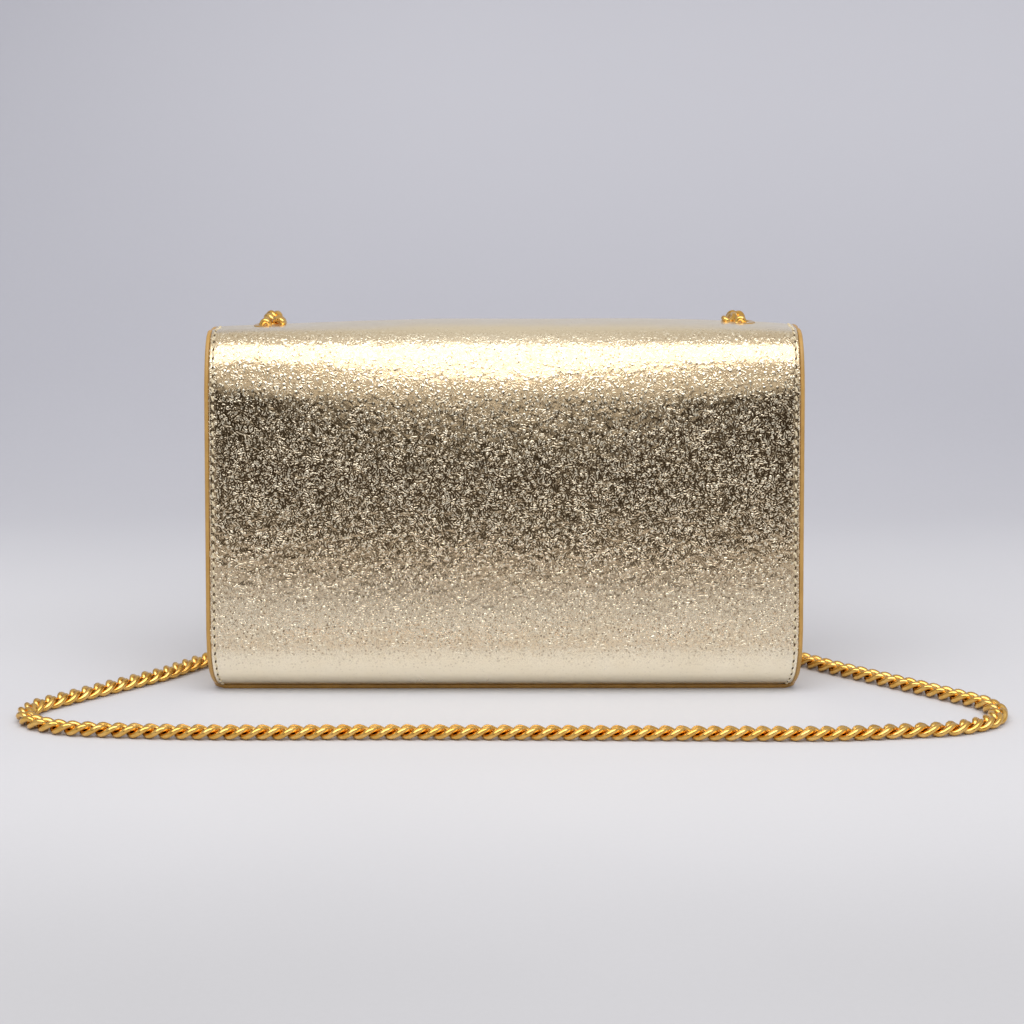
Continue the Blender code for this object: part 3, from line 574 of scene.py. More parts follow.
def groove(x, edge):
    """How deep the stitching pulls the leather down, this far across."""
    away = abs(abs(x) - (edge - EDGE_BEAD - STITCH_INSET))
    return STITCH_GROOVE * max(0, 1 - (away / GROOVE_WIDTH) ** 2)


def sewn_lift(x, gone):
    """The wrap's lift with the stitch groove and the edge turned down a little."""
    edge = wrap_half(gone) if gone <= EAR_END else flap_half(gone)
    inset = edge - EDGE_BEAD - abs(x)
    return wrap_lift(x, gone) - groove(x, edge) - EDGE_DROP * (1 - ease(inset, 0, EDGE_TURN))


corner_rows = [TIP_GONE - FLAP_CORNER + (FLAP_CORNER - EDGE_BEAD) * sin(angle)
               for angle in np.linspace(0, pi / 2, 14)]
wrap_rows = [*spaced(0, EAR_END, 0.0024), *spaced(FOLD_GONE, FOLD_GONE + 0.0265, 0.0022),
             *spaced(FOLD_GONE + 0.029, TIP_GONE - FLAP_CORNER - 0.002, 0.0030), *corner_rows]
outer_columns = 16
middle_columns = len(wrap_columns(0)) - 1 - 2 * outer_columns


def kept_in_wrap(low, high, column):
    """Whether a cell of the pattern is leather: the outer groups end at the fold."""
    in_middle = outer_columns <= column < outer_columns + middle_columns
    return in_middle or high <= EAR_END + 1e-6


wrap_skin = sheet_along("wrap_leather", wrap_line, wrap_rows, wrap_columns, sewn_lift, SKIN,
                        kept_in_wrap)
print("wrap_leather has", len(wrap_skin.data.polygons), "faces")

# %% [markdown]
# ## Painted edges and stitching
#
# The raw edge of the leather is closed with edge paint, which dries as a rounded bead. It follows
# the whole pattern: up one side, in along the fold, round the flap and back. The bead is swept
# along the pattern's outline, and the stitches follow the same outline a little further in.

# %% The wrap's outline
def wrap_outline(inset):
    """Places (x, gone) round the pattern from its left foot to its right foot, inset from it."""
    corner_x, corner_gone = FLAP_HALF_WIDTH - FLAP_CORNER, TIP_GONE - FLAP_CORNER
    left = [(-(wrap_half(gone) - inset), gone) for gone in spaced(0, FOLD_GONE - inset, 0.0016)]
    fold = FLAP_HALF_WIDTH - inset
    left += [(-x, FOLD_GONE - inset) for x in
             reversed(spaced(fold + 0.001, half_width(HINGE_Z) - inset - 0.002, 0.0018))]
    left += [(-fold, gone) for gone in spaced(FOLD_GONE - inset, corner_gone, 0.0018)]
    radius = FLAP_CORNER - inset
    left += [(-(corner_x + radius * cos(angle)), corner_gone + radius * sin(angle))
             for angle in np.linspace(0, pi / 2, 20)[1:]]
    tip = [(x, TIP_GONE - inset) for x in spaced(-corner_x + 0.002, corner_x - 0.002, 0.003)]
    return left + tip + [(-x, gone) for x, gone in reversed(left)]


def outward(places, index):
    """The direction out of a pattern at a point of its outline, which runs clockwise."""
    before = places[max(0, index - 1)]
    after = places[min(len(places) - 1, index + 1)]
    run = (after[0] - before[0], after[1] - before[1])
    size = hypot(*run) or 1
    return -run[1] / size, run[0] / size


print("the wrap's outline has", len(wrap_outline(EDGE_BEAD)), "points")

# %% Beads of edge paint
BEAD_SIDES = 8


def edge_bead(name, line, places, lift, width, depth, fullness=0.7, proud=0.0001):
    """A rounded bead of edge paint along an outline, half an oval in section."""
    verts, faces = [], []
    for index, (x, gone) in enumerate(places):
        out_x, out_gone = outward(places, index)
        raised = lift(x, gone)
        for step in range(BEAD_SIDES + 1):
            angle = pi * step / BEAD_SIDES
            reach = width * max(0, sin(angle)) ** fullness
            under = depth * (1 - cos(angle)) / 2
            verts.append(on_sheet(line, x + out_x * reach, gone + out_gone * reach,
                                  raised + proud - under))
    span = BEAD_SIDES + 1
    for index in range(len(places) - 1):
        for step in range(BEAD_SIDES):
            first = index * span + step
            faces.append((first, first + 1, first + span + 1, first + span))
        back = index * span
        faces.append((back + BEAD_SIDES, back, back + span, back + span + BEAD_SIDES))
    faces.append(tuple(reversed(range(span))))
    faces.append(tuple(range((len(places) - 1) * span, len(places) * span)))
    made = new_object(name, verts, faces)
    runs = made.data.uv_layers.new(name="pattern")
    gone_along = [0]
    for first, second in zip(places, places[1:]):
        gone_along.append(gone_along[-1] + hypot(second[0] - first[0], second[1] - first[1]))
    for loop in made.data.loops:
        index, step = divmod(loop.vertex_index, span)
        runs.data[loop.index].uv = (width * step / BEAD_SIDES, gone_along[index])
    return made


def edge_lift(x, gone):
    """The lift of the leather's very edge."""
    return wrap_lift(x, gone) - EDGE_DROP


wrap_edge = edge_bead("wrap_edge_paint", wrap_line, wrap_outline(EDGE_BEAD), edge_lift,
                      EDGE_BEAD, LEATHER)
print("wrap_edge_paint has", len(wrap_edge.data.polygons), "faces")

# %% One stitch and one needle's hole
STITCH_LENGTH = 0.0025
THREAD_RADIUS = 0.00040
THREAD_DIVE = 0.00035
HOLE_LENGTH = 0.00160
HOLE_WIDTH = 0.00076
HOLE_RIM = 0.00004
HOLE_FLOOR = 0.00001


def thread_stitch(length, radius, sink):
    """One stitch along X: a thread that dives into the leather at both ends."""
    rings, sides = 9, 6
    verts, faces = [], []
    for ring in range(rings):
        share = 2 * ring / (rings - 1) - 1
        thick = radius * sqrt(max(0.04, 1 - share ** 8))
        for spoke in range(sides):
            turn = 2 * pi * spoke / sides
            verts.append((share * length / 2, thick * cos(turn),
                          thick * sin(turn) - sink * share ** 4))
    for ring in range(rings - 1):
        for spoke in range(sides):
            beside = (spoke + 1) % sides
            faces.append((ring * sides + spoke, (ring + 1) * sides + spoke,
                          (ring + 1) * sides + beside, ring * sides + beside))
    faces += [tuple(range(sides)), tuple(reversed(range((rings - 1) * sides, rings * sides)))]
    return verts, faces


def needle_hole(length, width):
    """One hole along X: a shallow oval pit with a rim that lies on the leather."""
    sides = 10
    verts, faces = [(0, 0, HOLE_FLOOR)], []
    for spoke in range(sides):
        turn = 2 * pi * spoke / sides
        verts.append((length / 2 * cos(turn), width / 2 * sin(turn), HOLE_RIM))
    for spoke in range(sides):
        faces.append((0, 1 + spoke, 1 + (spoke + 1) % sides))
    return verts, faces


stitch = thread_stitch(STITCH_LENGTH, THREAD_RADIUS, THREAD_DIVE)
hole = needle_hole(HOLE_LENGTH, HOLE_WIDTH)
print("a stitch has", len(stitch[1]), "faces and a hole", len(hole[1]))

# %% Sewing along an outline
STITCH_PITCH = 0.0035
STITCH_SLANT = radians(16)
STITCH_RAISE = 0.00012
HOLE_RAISE = 0.00003
UNSEWN = (FOLD_GONE - 0.0045, FOLD_GONE + 0.004)


def evenly(places, pitch):
    """Places a pitch apart along an outline, each with the direction of the outline there."""
    line = np.array(places)
    gone = np.concatenate(([0], np.cumsum(np.hypot(*np.diff(line, axis=0).T))))
    count = int(gone[-1] / pitch)
    even = []
    for index in range(count):
        at = (index + 0.5) * gone[-1] / count
        here, ahead = (np.array([np.interp(g, gone, line[:, 0]), np.interp(g, gone, line[:, 1])])
                       for g in (at, at + pitch / 8))
        run = ahead - here
        size = hypot(*run) or 1
        even.append((here, run / size))
    return even


def sewn_row(name, places, pattern, raised, slant, offset=0.0):
    """Copies of one small mesh along an outline of the wrap, each turned along it."""
    verts, faces = [], []
    shape, shape_faces = pattern
    for place, run in evenly(places, STITCH_PITCH):
        if UNSEWN[0] < place[1] < UNSEWN[1]:
            continue
        place = place + run * offset
        run = np.array([run[0] * cos(slant) - run[1] * sin(slant),
                        run[0] * sin(slant) + run[1] * cos(slant)])
        side = np.array([-run[1], run[0]])
        first = len(verts)
        for along, across, up in shape:
            x, gone = place + run * along + side * across
            lift = wrap_lift(x, gone) - STITCH_GROOVE
            verts.append(on_sheet(wrap_line, x, gone, lift + up + raised))
        faces += [[first + i for i in face] for face in shape_faces]
    return new_object(name, verts, faces)


stitch_line = wrap_outline(EDGE_BEAD + STITCH_INSET)
wrap_thread = sewn_row("wrap_stitches", stitch_line, stitch, STITCH_RAISE, STITCH_SLANT)
wrap_holes = sewn_row("wrap_needle_holes", stitch_line, hole, HOLE_RAISE, -STITCH_SLANT,
                      STITCH_PITCH / 2)
print("the wrap has", len(wrap_thread.data.polygons) // len(stitch[1]), "stitches")

for piece in (wrap_skin, wrap_edge, wrap_thread, wrap_holes):
    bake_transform(piece)
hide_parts("back_wrap", "flap_leather")

# %% [markdown]
# ## The front panel
#
# The front is one sheet too. It starts as two ears under the wrap, rolls over the shoulders, goes
# down the front with the mouth cut out between the ears, and turns under as the base.

# %% The front's line
def top_point(heading, depth):
    """The point of the back's top roll with that heading, this deep under the wrap's face."""
    reach = BACK_TOP_RADIUS - depth
    return TOP_CENTRE_Y - reach * sin(heading), TOP_CENTRE_Z + reach * cos(heading)


def ear_shoulder(depth):
    """Where the ear's roll starts and its radius, for a surface this deep under the ear's."""
    start_y = HINGE_Y - UNDER_WRAP * sin(CROWN_SLOPE)
    start_z = HINGE_Z - UNDER_WRAP * cos(CROWN_SLOPE)
    radius = (FRONT_FACE - start_y) / (1 - sin(CROWN_SLOPE))
    return start_y, start_z, radius - depth


BASE_LIP = 0.0002
BASE_REACH = FRONT_FACE - FRONT_FOOT_RADIUS - FOOT_Y + BASE_LIP
shoulder_z, shoulder_radius = ear_shoulder(0)[1:]
front_line = walk(
    top_point(CROWN_SLOPE + EAR_TUCK, UNDER_WRAP), CROWN_SLOPE + EAR_TUCK,
    ((BACK_TOP_RADIUS - UNDER_WRAP, EAR_TUCK), (CROWN_RADIUS - UNDER_WRAP, 2 * CROWN_SLOPE),
     (shoulder_radius, pi / 2 - CROWN_SLOPE),
     (0, shoulder_z - shoulder_radius * cos(CROWN_SLOPE) - FRONT_FOOT_RADIUS),
     (FRONT_FOOT_RADIUS, pi / 2), (0, BASE_REACH)))
FRONT_END = front_line[-1, 0]
MOUTH_GONE = (FRONT_END - BASE_REACH - FRONT_FOOT_RADIUS * pi / 2
              - (MOUTH_HEIGHT - FRONT_FOOT_RADIUS))
WRAP_ENDS_OVER_EAR = ((BACK_TOP_RADIUS - UNDER_WRAP) * EAR_TUCK
                      + (CROWN_RADIUS - UNDER_WRAP) * 2 * CROWN_SLOPE)
print(f"the front is {FRONT_END * 1000:.0f} mm long; its mouth is at {MOUTH_GONE * 1000:.0f} mm")

# %% The front's pattern and fullness
BASE_CORNER = 0.0070
FRONT_BEAD = 0.0012
FRONT_FULLNESS = 0.0004
FRONT_EDGE_DROP = 0.0002


def front_half(gone):
    """Half the front's width, with the foot's corners taken off like the wrap's."""
    taken = np.interp(FRONT_END - gone, *zip(*FOOT_CORNER))
    short = max(0, BASE_CORNER - max(0, FRONT_END - gone))
    taken += BASE_CORNER - sqrt(BASE_CORNER ** 2 - short ** 2)
    return half_width(station(front_line, gone)[1]) - taken


def mouth_half(gone):
    """Half the mouth's width beside the ears, with its rounded lower corners."""
    up = max(0, MOUTH_CORNER - (MOUTH_GONE - gone))
    return MOUTH_HALF_WIDTH - MOUTH_CORNER + sqrt(max(0, MOUTH_CORNER ** 2 - up ** 2))


def front_lift(x, gone):
    """A little fullness below the mouth and a small drop at the edges."""
    half = front_half(gone)
    across = 1 - min(1, abs(x) / half) ** 6
    face = ease(gone, WRAP_ENDS_OVER_EAR + 0.012, WRAP_ENDS_OVER_EAR + 0.045)
    face *= 1 - ease(gone, FRONT_END - 0.062, FRONT_END - 0.040)
    drop = FRONT_EDGE_DROP * (1 - ease(half - FRONT_BEAD - abs(x), 0, EDGE_TURN))
    sunk = crest_sink(x) * (1 - ease(gone, WRAP_ENDS_OVER_EAR + 0.002, WRAP_ENDS_OVER_EAR + 0.024))
    return FRONT_FULLNESS * across * face - drop * face - sunk


print(f"below the mouth the front is raised {front_lift(0, MOUTH_GONE + 0.02) * 1000:.2f} mm")

# %% The front in one sheet
EAR_SHARES = (0, 0.05, 0.14, 0.26, 0.4, 0.54, 0.68, 0.8, 0.89, 0.94, 0.97, 0.985, 1)
MIDDLE_SPAN = 44
ear_columns = len(EAR_SHARES) - 1


def front_columns(gone):
    """Places across the front: the middle under the mouth, and the two ears' groups."""
    inner = mouth_half(min(gone, MOUTH_GONE)) + (FRONT_BEAD if gone < MOUTH_GONE else 0)
    outer = front_half(gone) - FRONT_BEAD
    ear = [inner + (outer - inner) * share for share in EAR_SHARES]
    middle = spaced(-inner, inner, 2 * inner / MIDDLE_SPAN)[1:-1]
    return [-x for x in reversed(ear)] + middle + ear


def kept_in_front(low, high, column):
    """Whether a cell of the front is leather: there is none in the mouth."""
    in_ear = column < ear_columns or column >= len(front_columns(0)) - 1 - ear_columns
    return in_ear or low >= MOUTH_GONE + FRONT_BEAD - 1e-6


mouth_rows = [MOUTH_GONE - MOUTH_CORNER * (1 - sin(angle))
              for angle in np.linspace(0, pi / 2, 9)]
front_rows = [*spaced(0, MOUTH_GONE - MOUTH_CORNER - 0.002, 0.0022), *mouth_rows,
              MOUTH_GONE + FRONT_BEAD, *spaced(MOUTH_GONE + 0.004, FRONT_END - FRONT_BEAD, 0.003)]
front_skin = sheet_along("front_leather", front_line, front_rows, front_columns, front_lift, SKIN,
                         kept_in_front)
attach(front_skin, "root")
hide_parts("front_panel")
print("front_leather has", len(front_skin.data.polygons), "faces")

# %% The front's painted edges
def front_outline(inset):
    """Places round the outside of the front, from the left ear's tip to the right ear's."""
    left = [(-(front_half(gone) - inset), gone) for gone in
            reversed(spaced(0.0, FRONT_END - inset, 0.0020))]
    base_half = front_half(FRONT_END - inset) - inset - 0.002
    base = [(x, FRONT_END - inset) for x in spaced(-base_half, base_half, 0.004)]
    return list(reversed(left)) + base + [(-x, gone) for x, gone in left]


def mouth_outline(inset):
    """Places along the mouth, from the left ear's inner edge round to the right ear's."""
    corner_x, corner_gone = MOUTH_HALF_WIDTH - MOUTH_CORNER, MOUTH_GONE - MOUTH_CORNER
    right = [(mouth_half(gone) + inset, gone) for gone in spaced(0.0, corner_gone, 0.002)]
    radius = MOUTH_CORNER - inset
    right += [(corner_x + inset + radius * cos(angle), corner_gone + inset + radius * sin(angle))
              for angle in np.linspace(0, pi / 2, 10)[1:]]
    sill = [(x, MOUTH_GONE + inset) for x in spaced(-corner_x + 0.003, corner_x - 0.003, 0.004)]
    left = [(-x, gone) for x, gone in right]
    return right + list(reversed(sill)) + list(reversed(left))


BASE_PAINT_DEPTH = LEATHER + 0.0004
front_edge = edge_bead("front_edge_paint", front_line, front_outline(FRONT_BEAD), front_lift,
                       FRONT_BEAD, BASE_PAINT_DEPTH, fullness=0.3)
mouth_edge = edge_bead("mouth_edge_paint", front_line, mouth_outline(FRONT_BEAD), front_lift,
                       FRONT_BEAD, LEATHER)
for piece in (front_edge, mouth_edge):
    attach(piece, "root")
print("front edges have", len(front_edge.data.polygons) + len(mouth_edge.data.polygons), "faces")

# %% [markdown]
# ## Gussets, linings and pocket
#
# Each side is closed by a gusset, a strip that folds into the bag so that the sides stay slim. The
# linings are thin suede-like sheets, and the slip pocket is a patch that gapes at its top.

# %% The room between the walls
GUSSET_ROOM_HEIGHT = BAG_HEIGHT / 2


def inner_outline(top_depth, wall_depth):
    """The room for a gusset: (z, y) up the back wall and (z, y) up the front wall."""
    back = walk((-HALF_DEPTH + BACK_FOOT_RADIUS, wall_depth), pi,
                ((BACK_FOOT_RADIUS - wall_depth, pi / 2), (0, TOP_CENTRE_Z - BACK_FOOT_RADIUS),
                 (BACK_TOP_RADIUS - wall_depth, pi / 2 - CROWN_SLOPE - EAR_TUCK - radians(6))))
    top = walk(top_point(CROWN_SLOPE + EAR_TUCK, top_depth), CROWN_SLOPE + EAR_TUCK,
               ((BACK_TOP_RADIUS - top_depth, EAR_TUCK),))
    start_y, start_z, radius = ear_shoulder(wall_depth)
    side_y = start_y - wall_depth * sin(CROWN_SLOPE)
    side_z = start_z - wall_depth * cos(CROWN_SLOPE)
    front = walk((side_y, side_z), -CROWN_SLOPE,
                 ((radius, pi / 2 - CROWN_SLOPE),
                  (0, side_z - radius * cos(CROWN_SLOPE) - FRONT_FOOT_RADIUS),
                  (FRONT_FOOT_RADIUS - wall_depth, pi / 2)))
    back_wall = sorted((z, y) for gone, y, z, heading in [*back, *top])
    front_wall = sorted((z, y) for gone, y, z, heading in front)
    return back_wall, front_wall


def wall_at(wall, z):
    """The y of a wall, a list of (z, y), at a height."""
    return float(np.interp(z, *zip(*wall)))


sewn_walls = inner_outline(CABIN_DEPTH + GUSSET_TOP_PLAY, UNDER_WRAP)
room = wall_at(sewn_walls[1], GUSSET_ROOM_HEIGHT) - wall_at(sewn_walls[0], GUSSET_ROOM_HEIGHT)
print(f"half way up, a gusset has {room * 1000:.1f} mm between its walls")

# %% The gussets
GUSSET_ROWS = 44
GUSSET_COLUMNS = 31


def gusset_fold(z, y):
    """How far the gusset folds into the bag, growing from its foot up."""
    back, front = (wall_at(wall, z) for wall in sewn_walls)
    bend = min(1, abs(2 * y - back - front) / (front - back) / (1 - GUSSET_FLANGE_SHARE))
    grown = ease(z, FOLD_START, FOLD_FULL)
    return GUSSET_FOLD * grown * (1 - bend ** 2) ** 2


def gusset_sheet(name, side, thickness, inset, wall_depth, top_depth):
    """A gusset or its lining: columns from back to front, rows from the foot to the top."""
    back_wall, front_wall = inner_outline(top_depth, wall_depth)
    high = min(back_wall[-1][0], front_wall[-1][0])
    shares = sorted({*np.linspace(0, 1, GUSSET_ROWS).round(4), 0.004, 0.01, 0.99, 0.996})
    verts, places = [], []
    for share in shares:
        z = wall_depth + (high - wall_depth) * share
        back, front = wall_at(back_wall, z), wall_at(front_wall, z)
        for across in np.linspace(-1, 1, GUSSET_COLUMNS):
            y = (back + front) / 2 + side * across * (front - back) / 2
            verts.append((side * (half_width(z, inset) - gusset_fold(z, y)), y, z))
            places.append((y, z))
    return patterned_sheet(name, verts, grid_faces(len(shares), GUSSET_COLUMNS), places, thickness)


gusset_skins, lining_skins = [], []
for label, side in (("left", -1), ("right", 1)):
    leather = gusset_sheet("gusset_leather_" + label, side, GUSSET, GUSSET_INSET, UNDER_WRAP,
                           CABIN_DEPTH + GUSSET_TOP_PLAY)
    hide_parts("gusset_" + label)
    gusset_skins.append(leather)
    inner = gusset_sheet("gusset_suede_" + label, side, GUSSET_LINING,
                         GUSSET_INSET + GUSSET + GUSSET_LINING_PLAY, CABIN_DEPTH,
                         CABIN_DEPTH + GUSSET_TOP_PLAY + 2 * GUSSET)
    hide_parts("gusset_lining_" + label)
    lining_skins.append(inner)
    for piece, family in ((leather, "gold_leather"), (inner, "suede_lining")):
        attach(piece, "root")
print("two gussets, each", len(gusset_skins[0].data.polygons), "faces")

# %% The body lining
LINING_SPAN = 41
depth = LINING_DEPTH
lining_line = walk(
    (FRONT_FACE - depth, MOUTH_HEIGHT - EDGE_LIP), -pi / 2,
    ((0, MOUTH_HEIGHT - EDGE_LIP - FRONT_FOOT_RADIUS), (FRONT_FOOT_RADIUS - depth, pi / 2),
     (0, FRONT_FACE - FRONT_FOOT_RADIUS + HALF_DEPTH - BACK_FOOT_RADIUS),
     (BACK_FOOT_RADIUS - depth, pi / 2), (0, TOP_CENTRE_Z - BACK_FOOT_RADIUS),
     (BACK_TOP_RADIUS - depth, pi / 2 - CROWN_SLOPE), (CROWN_RADIUS - depth, 2 * CROWN_SLOPE)))


def lining_columns(gone):
    """Places across the body lining."""
    half = half_width(station(lining_line, gone)[1], LINING_INSET)
    return list(np.linspace(-half, half, LINING_SPAN))


def soft_lift(x, gone):
    """The lining is glued, but not quite flat; it gives only towards the inside."""
    return -0.00012 * (1 + waver(x, gone))


body_suede = sheet_along("body_suede", lining_line, spaced(0, lining_line[-1, 0], 0.004),
                         lining_columns, soft_lift, LINING)
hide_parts("body_lining")
print("body_suede has", len(body_suede.data.polygons), "faces")

# %% The slip pocket
POCKET_COLUMNS = 36
POCKET_LEVELS = 18
POCKET_SEAT = -HALF_DEPTH + CABIN_DEPTH + LINING
POCKET_PLAY = 0.0002

verts, places = [], []
for level in range(POCKET_LEVELS + 1):
    up = level / POCKET_LEVELS
    for column in range(POCKET_COLUMNS + 1):
        across = 2 * column / POCKET_COLUMNS - 1
        gape = POCKET_GAPE * cos(across * pi / 2) * sqrt(up)
        x, z = -across * POCKET_WIDTH / 2, POCKET_FOOT + (POCKET_TOP - POCKET_FOOT) * up
        verts.append((x, POCKET_SEAT + gape + POCKET_PLAY, z))
        places.append((x, z))
pocket = patterned_sheet("pocket_suede", verts, grid_faces(POCKET_LEVELS + 1, POCKET_COLUMNS + 1),
                         places, LINING)
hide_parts("slip_pocket")
for piece in (body_suede, pocket):
    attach(piece, "root")
print("the pocket gapes by", POCKET_GAPE * 1000, "mm")

# %% The flap's lining
HINGE_GAP = 0.0006
flap_depth = LEATHER + FIT + FLAP_BOARD + FIT
flap_roll = FRONT_TOP_RADIUS - HINGE_GAP / 2 / (1 - sin(CROWN_SLOPE)) - flap_depth
flap_drop = HINGE_Z - FRONT_TOP_RADIUS * cos(CROWN_SLOPE) - FLAP_TIP_HEIGHT - FLAP_EDGE_MARGIN
flap_line = walk((HINGE_Y + HINGE_GAP / 2 - flap_depth * sin(CROWN_SLOPE),
                  HINGE_Z - flap_depth * cos(CROWN_SLOPE)),
                 -CROWN_SLOPE, ((flap_roll, pi / 2 - CROWN_SLOPE), (0, flap_drop)))
FLAP_LINING_END = flap_line[-1, 0]
ROLL_END = FLAP_LINING_END - flap_drop
THROAT_OPENS = 0.012


def flap_lining_columns(gone):
    """Places across the flap's lining: as wide as the throat at the fold, then the flap's own."""
    corner = FLAP_CORNER - FLAP_EDGE_MARGIN
    past = max(0, gone - (FLAP_LINING_END - corner))
    half = FLAP_HALF_WIDTH - FLAP_CORNER + sqrt(max(0, corner ** 2 - past ** 2))
    throat = MOUTH_HALF_WIDTH - FLAP_THROAT_MARGIN
    opened = ease(gone, ROLL_END, ROLL_END + THROAT_OPENS)
    half = min(half, throat + (half - throat) * opened)
    return list(np.linspace(-half, half, LINING_SPAN))


corner_end = [FLAP_LINING_END - (FLAP_CORNER - FLAP_EDGE_MARGIN) * (1 - sin(angle))
              for angle in np.linspace(0, radians(84), 12)]
flap_rows = [*spaced(0, corner_end[0] - 0.002, 0.003), *corner_end]
flap_suede = sheet_along("flap_suede", flap_line, flap_rows, flap_lining_columns,
                         lambda x, gone: 0, LINING)
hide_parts("flap_lining")
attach(flap_suede, "flap")
print("flap_suede has", len(flap_suede.data.polygons), "faces")

# %% [markdown]
# ## Where the strap goes in
#
# Each end of the strap dives through an eyelet in the crest to a bar inside. The CAD links there
# are plain stand-ins; these are the same fat, twisted links as the strap's, and the eyelet has a
# rounded flange that lies on the sunk leather.

# %% Eyelets
EYELET_FLANGE_RADIUS = 0.007
EYELET_BORE = 0.0042
EYELET_BARREL_RADIUS = 0.0048
EYELET_FLANGE_PROUD = 0.0007
EYELET_FLANGE_SUNK = 0.0006
BARREL_FOOT = 0.1420
TURNED_SIDES = 56


def turned(name, profile, place):
    """A closed profile (radius, z) turned round a vertical axis through a place."""
    verts = []
    for spoke in range(TURNED_SIDES):
        turn = 2 * pi * spoke / TURNED_SIDES
        verts += [(place[0] + r * cos(turn), place[1] + r * sin(turn), z) for r, z in profile]
    return new_object(name, verts, ring_faces(TURNED_SIDES, len(profile)))


def eyelet_profile(seat):
    """A rolled flange that lies at this height, and the barrel under it."""
    middle = (EYELET_FLANGE_RADIUS + EYELET_BORE) / 2
    half = (EYELET_FLANGE_RADIUS - EYELET_BORE) / 2
    rolled = [(middle + half * cos(angle), seat + EYELET_FLANGE_PROUD * sin(angle) ** 0.8)
              for angle in np.linspace(0.02, pi - 0.02, 15)]
    under = seat - EYELET_FLANGE_SUNK
    return [(EYELET_BARREL_RADIUS, BARREL_FOOT), (EYELET_BARREL_RADIUS, under),
            (EYELET_FLANGE_RADIUS, under), *rolled, (EYELET_BORE, BARREL_FOOT)]


eyelets = []
for label, side in (("left", -1), ("right", 1)):
    seat = BAG_HEIGHT - 0.0001 - crest_sink(side * EYELET_OFFSET)
    ring = turned("eyelet_ring_" + label, eyelet_profile(seat), (side * EYELET_OFFSET, CREST_Y))
    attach(ring, "root")
    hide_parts("eyelet_" + label)
    eyelets.append(ring)
print("two eyelets, each", len(eyelets[0].data.polygons), "faces")

# %% The end links
DROP_LINK_FOOT = 0.1376
DROP_LINK_WIDTH = 0.0062
TOP_LINK_SIZE = (0.0104, 0.0060)
END_WIRE = 0.0023
END_FLATTENED = 0.95


def end_link(name, length, width, twist, centre, ahead, face):
    """One fat link with its long axis and its face turned as given; sizes are outer ones."""
    oval = twisted_oval(length - END_WIRE, width - END_WIRE, twist)
    verts, faces = wire_ring(oval, END_WIRE / 2, END_FLATTENED, twist)
    ahead, face = np.array(ahead, float), np.array(face, float)
    ahead /= np.linalg.norm(ahead)
    face -= ahead * face.dot(ahead)
    face /= np.linalg.norm(face)
    return new_object(name, verts @ np.array([ahead, np.cross(face, ahead), face]) + centre, faces)


DROP_LINKS = (("left", -1, 0.1491, 0.0022), ("right", 1, 0.1501, 0.0010))
end_links = []
for label, side, head, shift in DROP_LINKS:
    x = side * (EYELET_OFFSET + shift)
    drop = end_link("drop_loop_" + label, head - DROP_LINK_FOOT, DROP_LINK_WIDTH, radians(-24),
                    (x, CREST_Y, (head + DROP_LINK_FOOT) / 2), (0, 0, 1), (0.25, -1, 0))
    flat = end_link("flat_loop_" + label, *TOP_LINK_SIZE, radians(-50),
                    (side * (EYELET_OFFSET - 0.0032), CREST_Y + 0.0046, head - 0.0018),
                    (side * 0.42, 1, 0.05), (side * -0.3, 0, 1))
    for made, name in ((drop, "drop_link_"), (flat, "top_link_")):
        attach(made, "root")
        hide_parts(name + label)
        end_links.append(made)
print("end links:", ", ".join(link.name for link in end_links))

# %% [markdown]
# ## Finishes
#
# Effects that several materials share are node groups: the worm-like grain and the soft folds of
# embossed foil leather, a slow mottle, and the fine rubs of a polished surface. Each material
# holds its own Principled shader and gives the groups its own values.

# %% Helpers for nodes
def give(tree, socket, value):
    """Feeds an input socket from an output socket, or sets its own value."""
    if hasattr(value, "is_output"):
        tree.links.new(value, socket)
    else:
        socket.default_value = value


def add(tree, kind, **values):
    """A new shader node; values are its settings, or what its inputs get, by name."""
    node = tree.nodes.new("ShaderNode" + kind)
    for name, value in values.items():
        if hasattr(node, name):
            setattr(node, name, value)
        else:
            give(tree, node.inputs[name.replace("_", " ")], value)
    return node


def maths(tree, operation, first, second=0.0):
    """The result of a maths node; each operand is a socket or a number."""
    node = add(tree, "Math", operation=operation)
    give(tree, node.inputs[0], first)
    give(tree, node.inputs[1], second)
    return node.outputs[0]


def times(tree, first, second):
    """One value times another."""
    return maths(tree, "MULTIPLY", first, second)


def ramp(tree, value, low, high, smooth=True):
    """A value mapped from low..high to 0..1."""
    return add(tree, "MapRange", interpolation_type="SMOOTHSTEP" if smooth else "LINEAR",
               Value=value, From_Min=low, From_Max=high).outputs["Result"]


def noise(tree, where, scale, detail=1.0, **values):
    """The factor of a noise texture over a place or a direction."""
    return add(tree, "TexNoise", Vector=where, Scale=scale, Detail=detail, **values).outputs["Fac"]


def group_tree(name, inputs, outputs):
    """An empty node group with named sockets, with its input and output nodes."""
    tree = bpy.data.node_groups.new(name, "ShaderNodeTree")
    for label, kind, value in inputs:
        socket = tree.interface.new_socket(name=label, in_out="INPUT",
                                           socket_type="NodeSocket" + kind)
        if kind == "Float":
            socket.default_value = value
    for label in outputs:
        tree.interface.new_socket(name=label, in_out="OUTPUT", socket_type="NodeSocketFloat")
    return tree, tree.nodes.new("NodeGroupInput").outputs, tree.nodes.new("NodeGroupOutput").inputs


print("node helpers are ready")


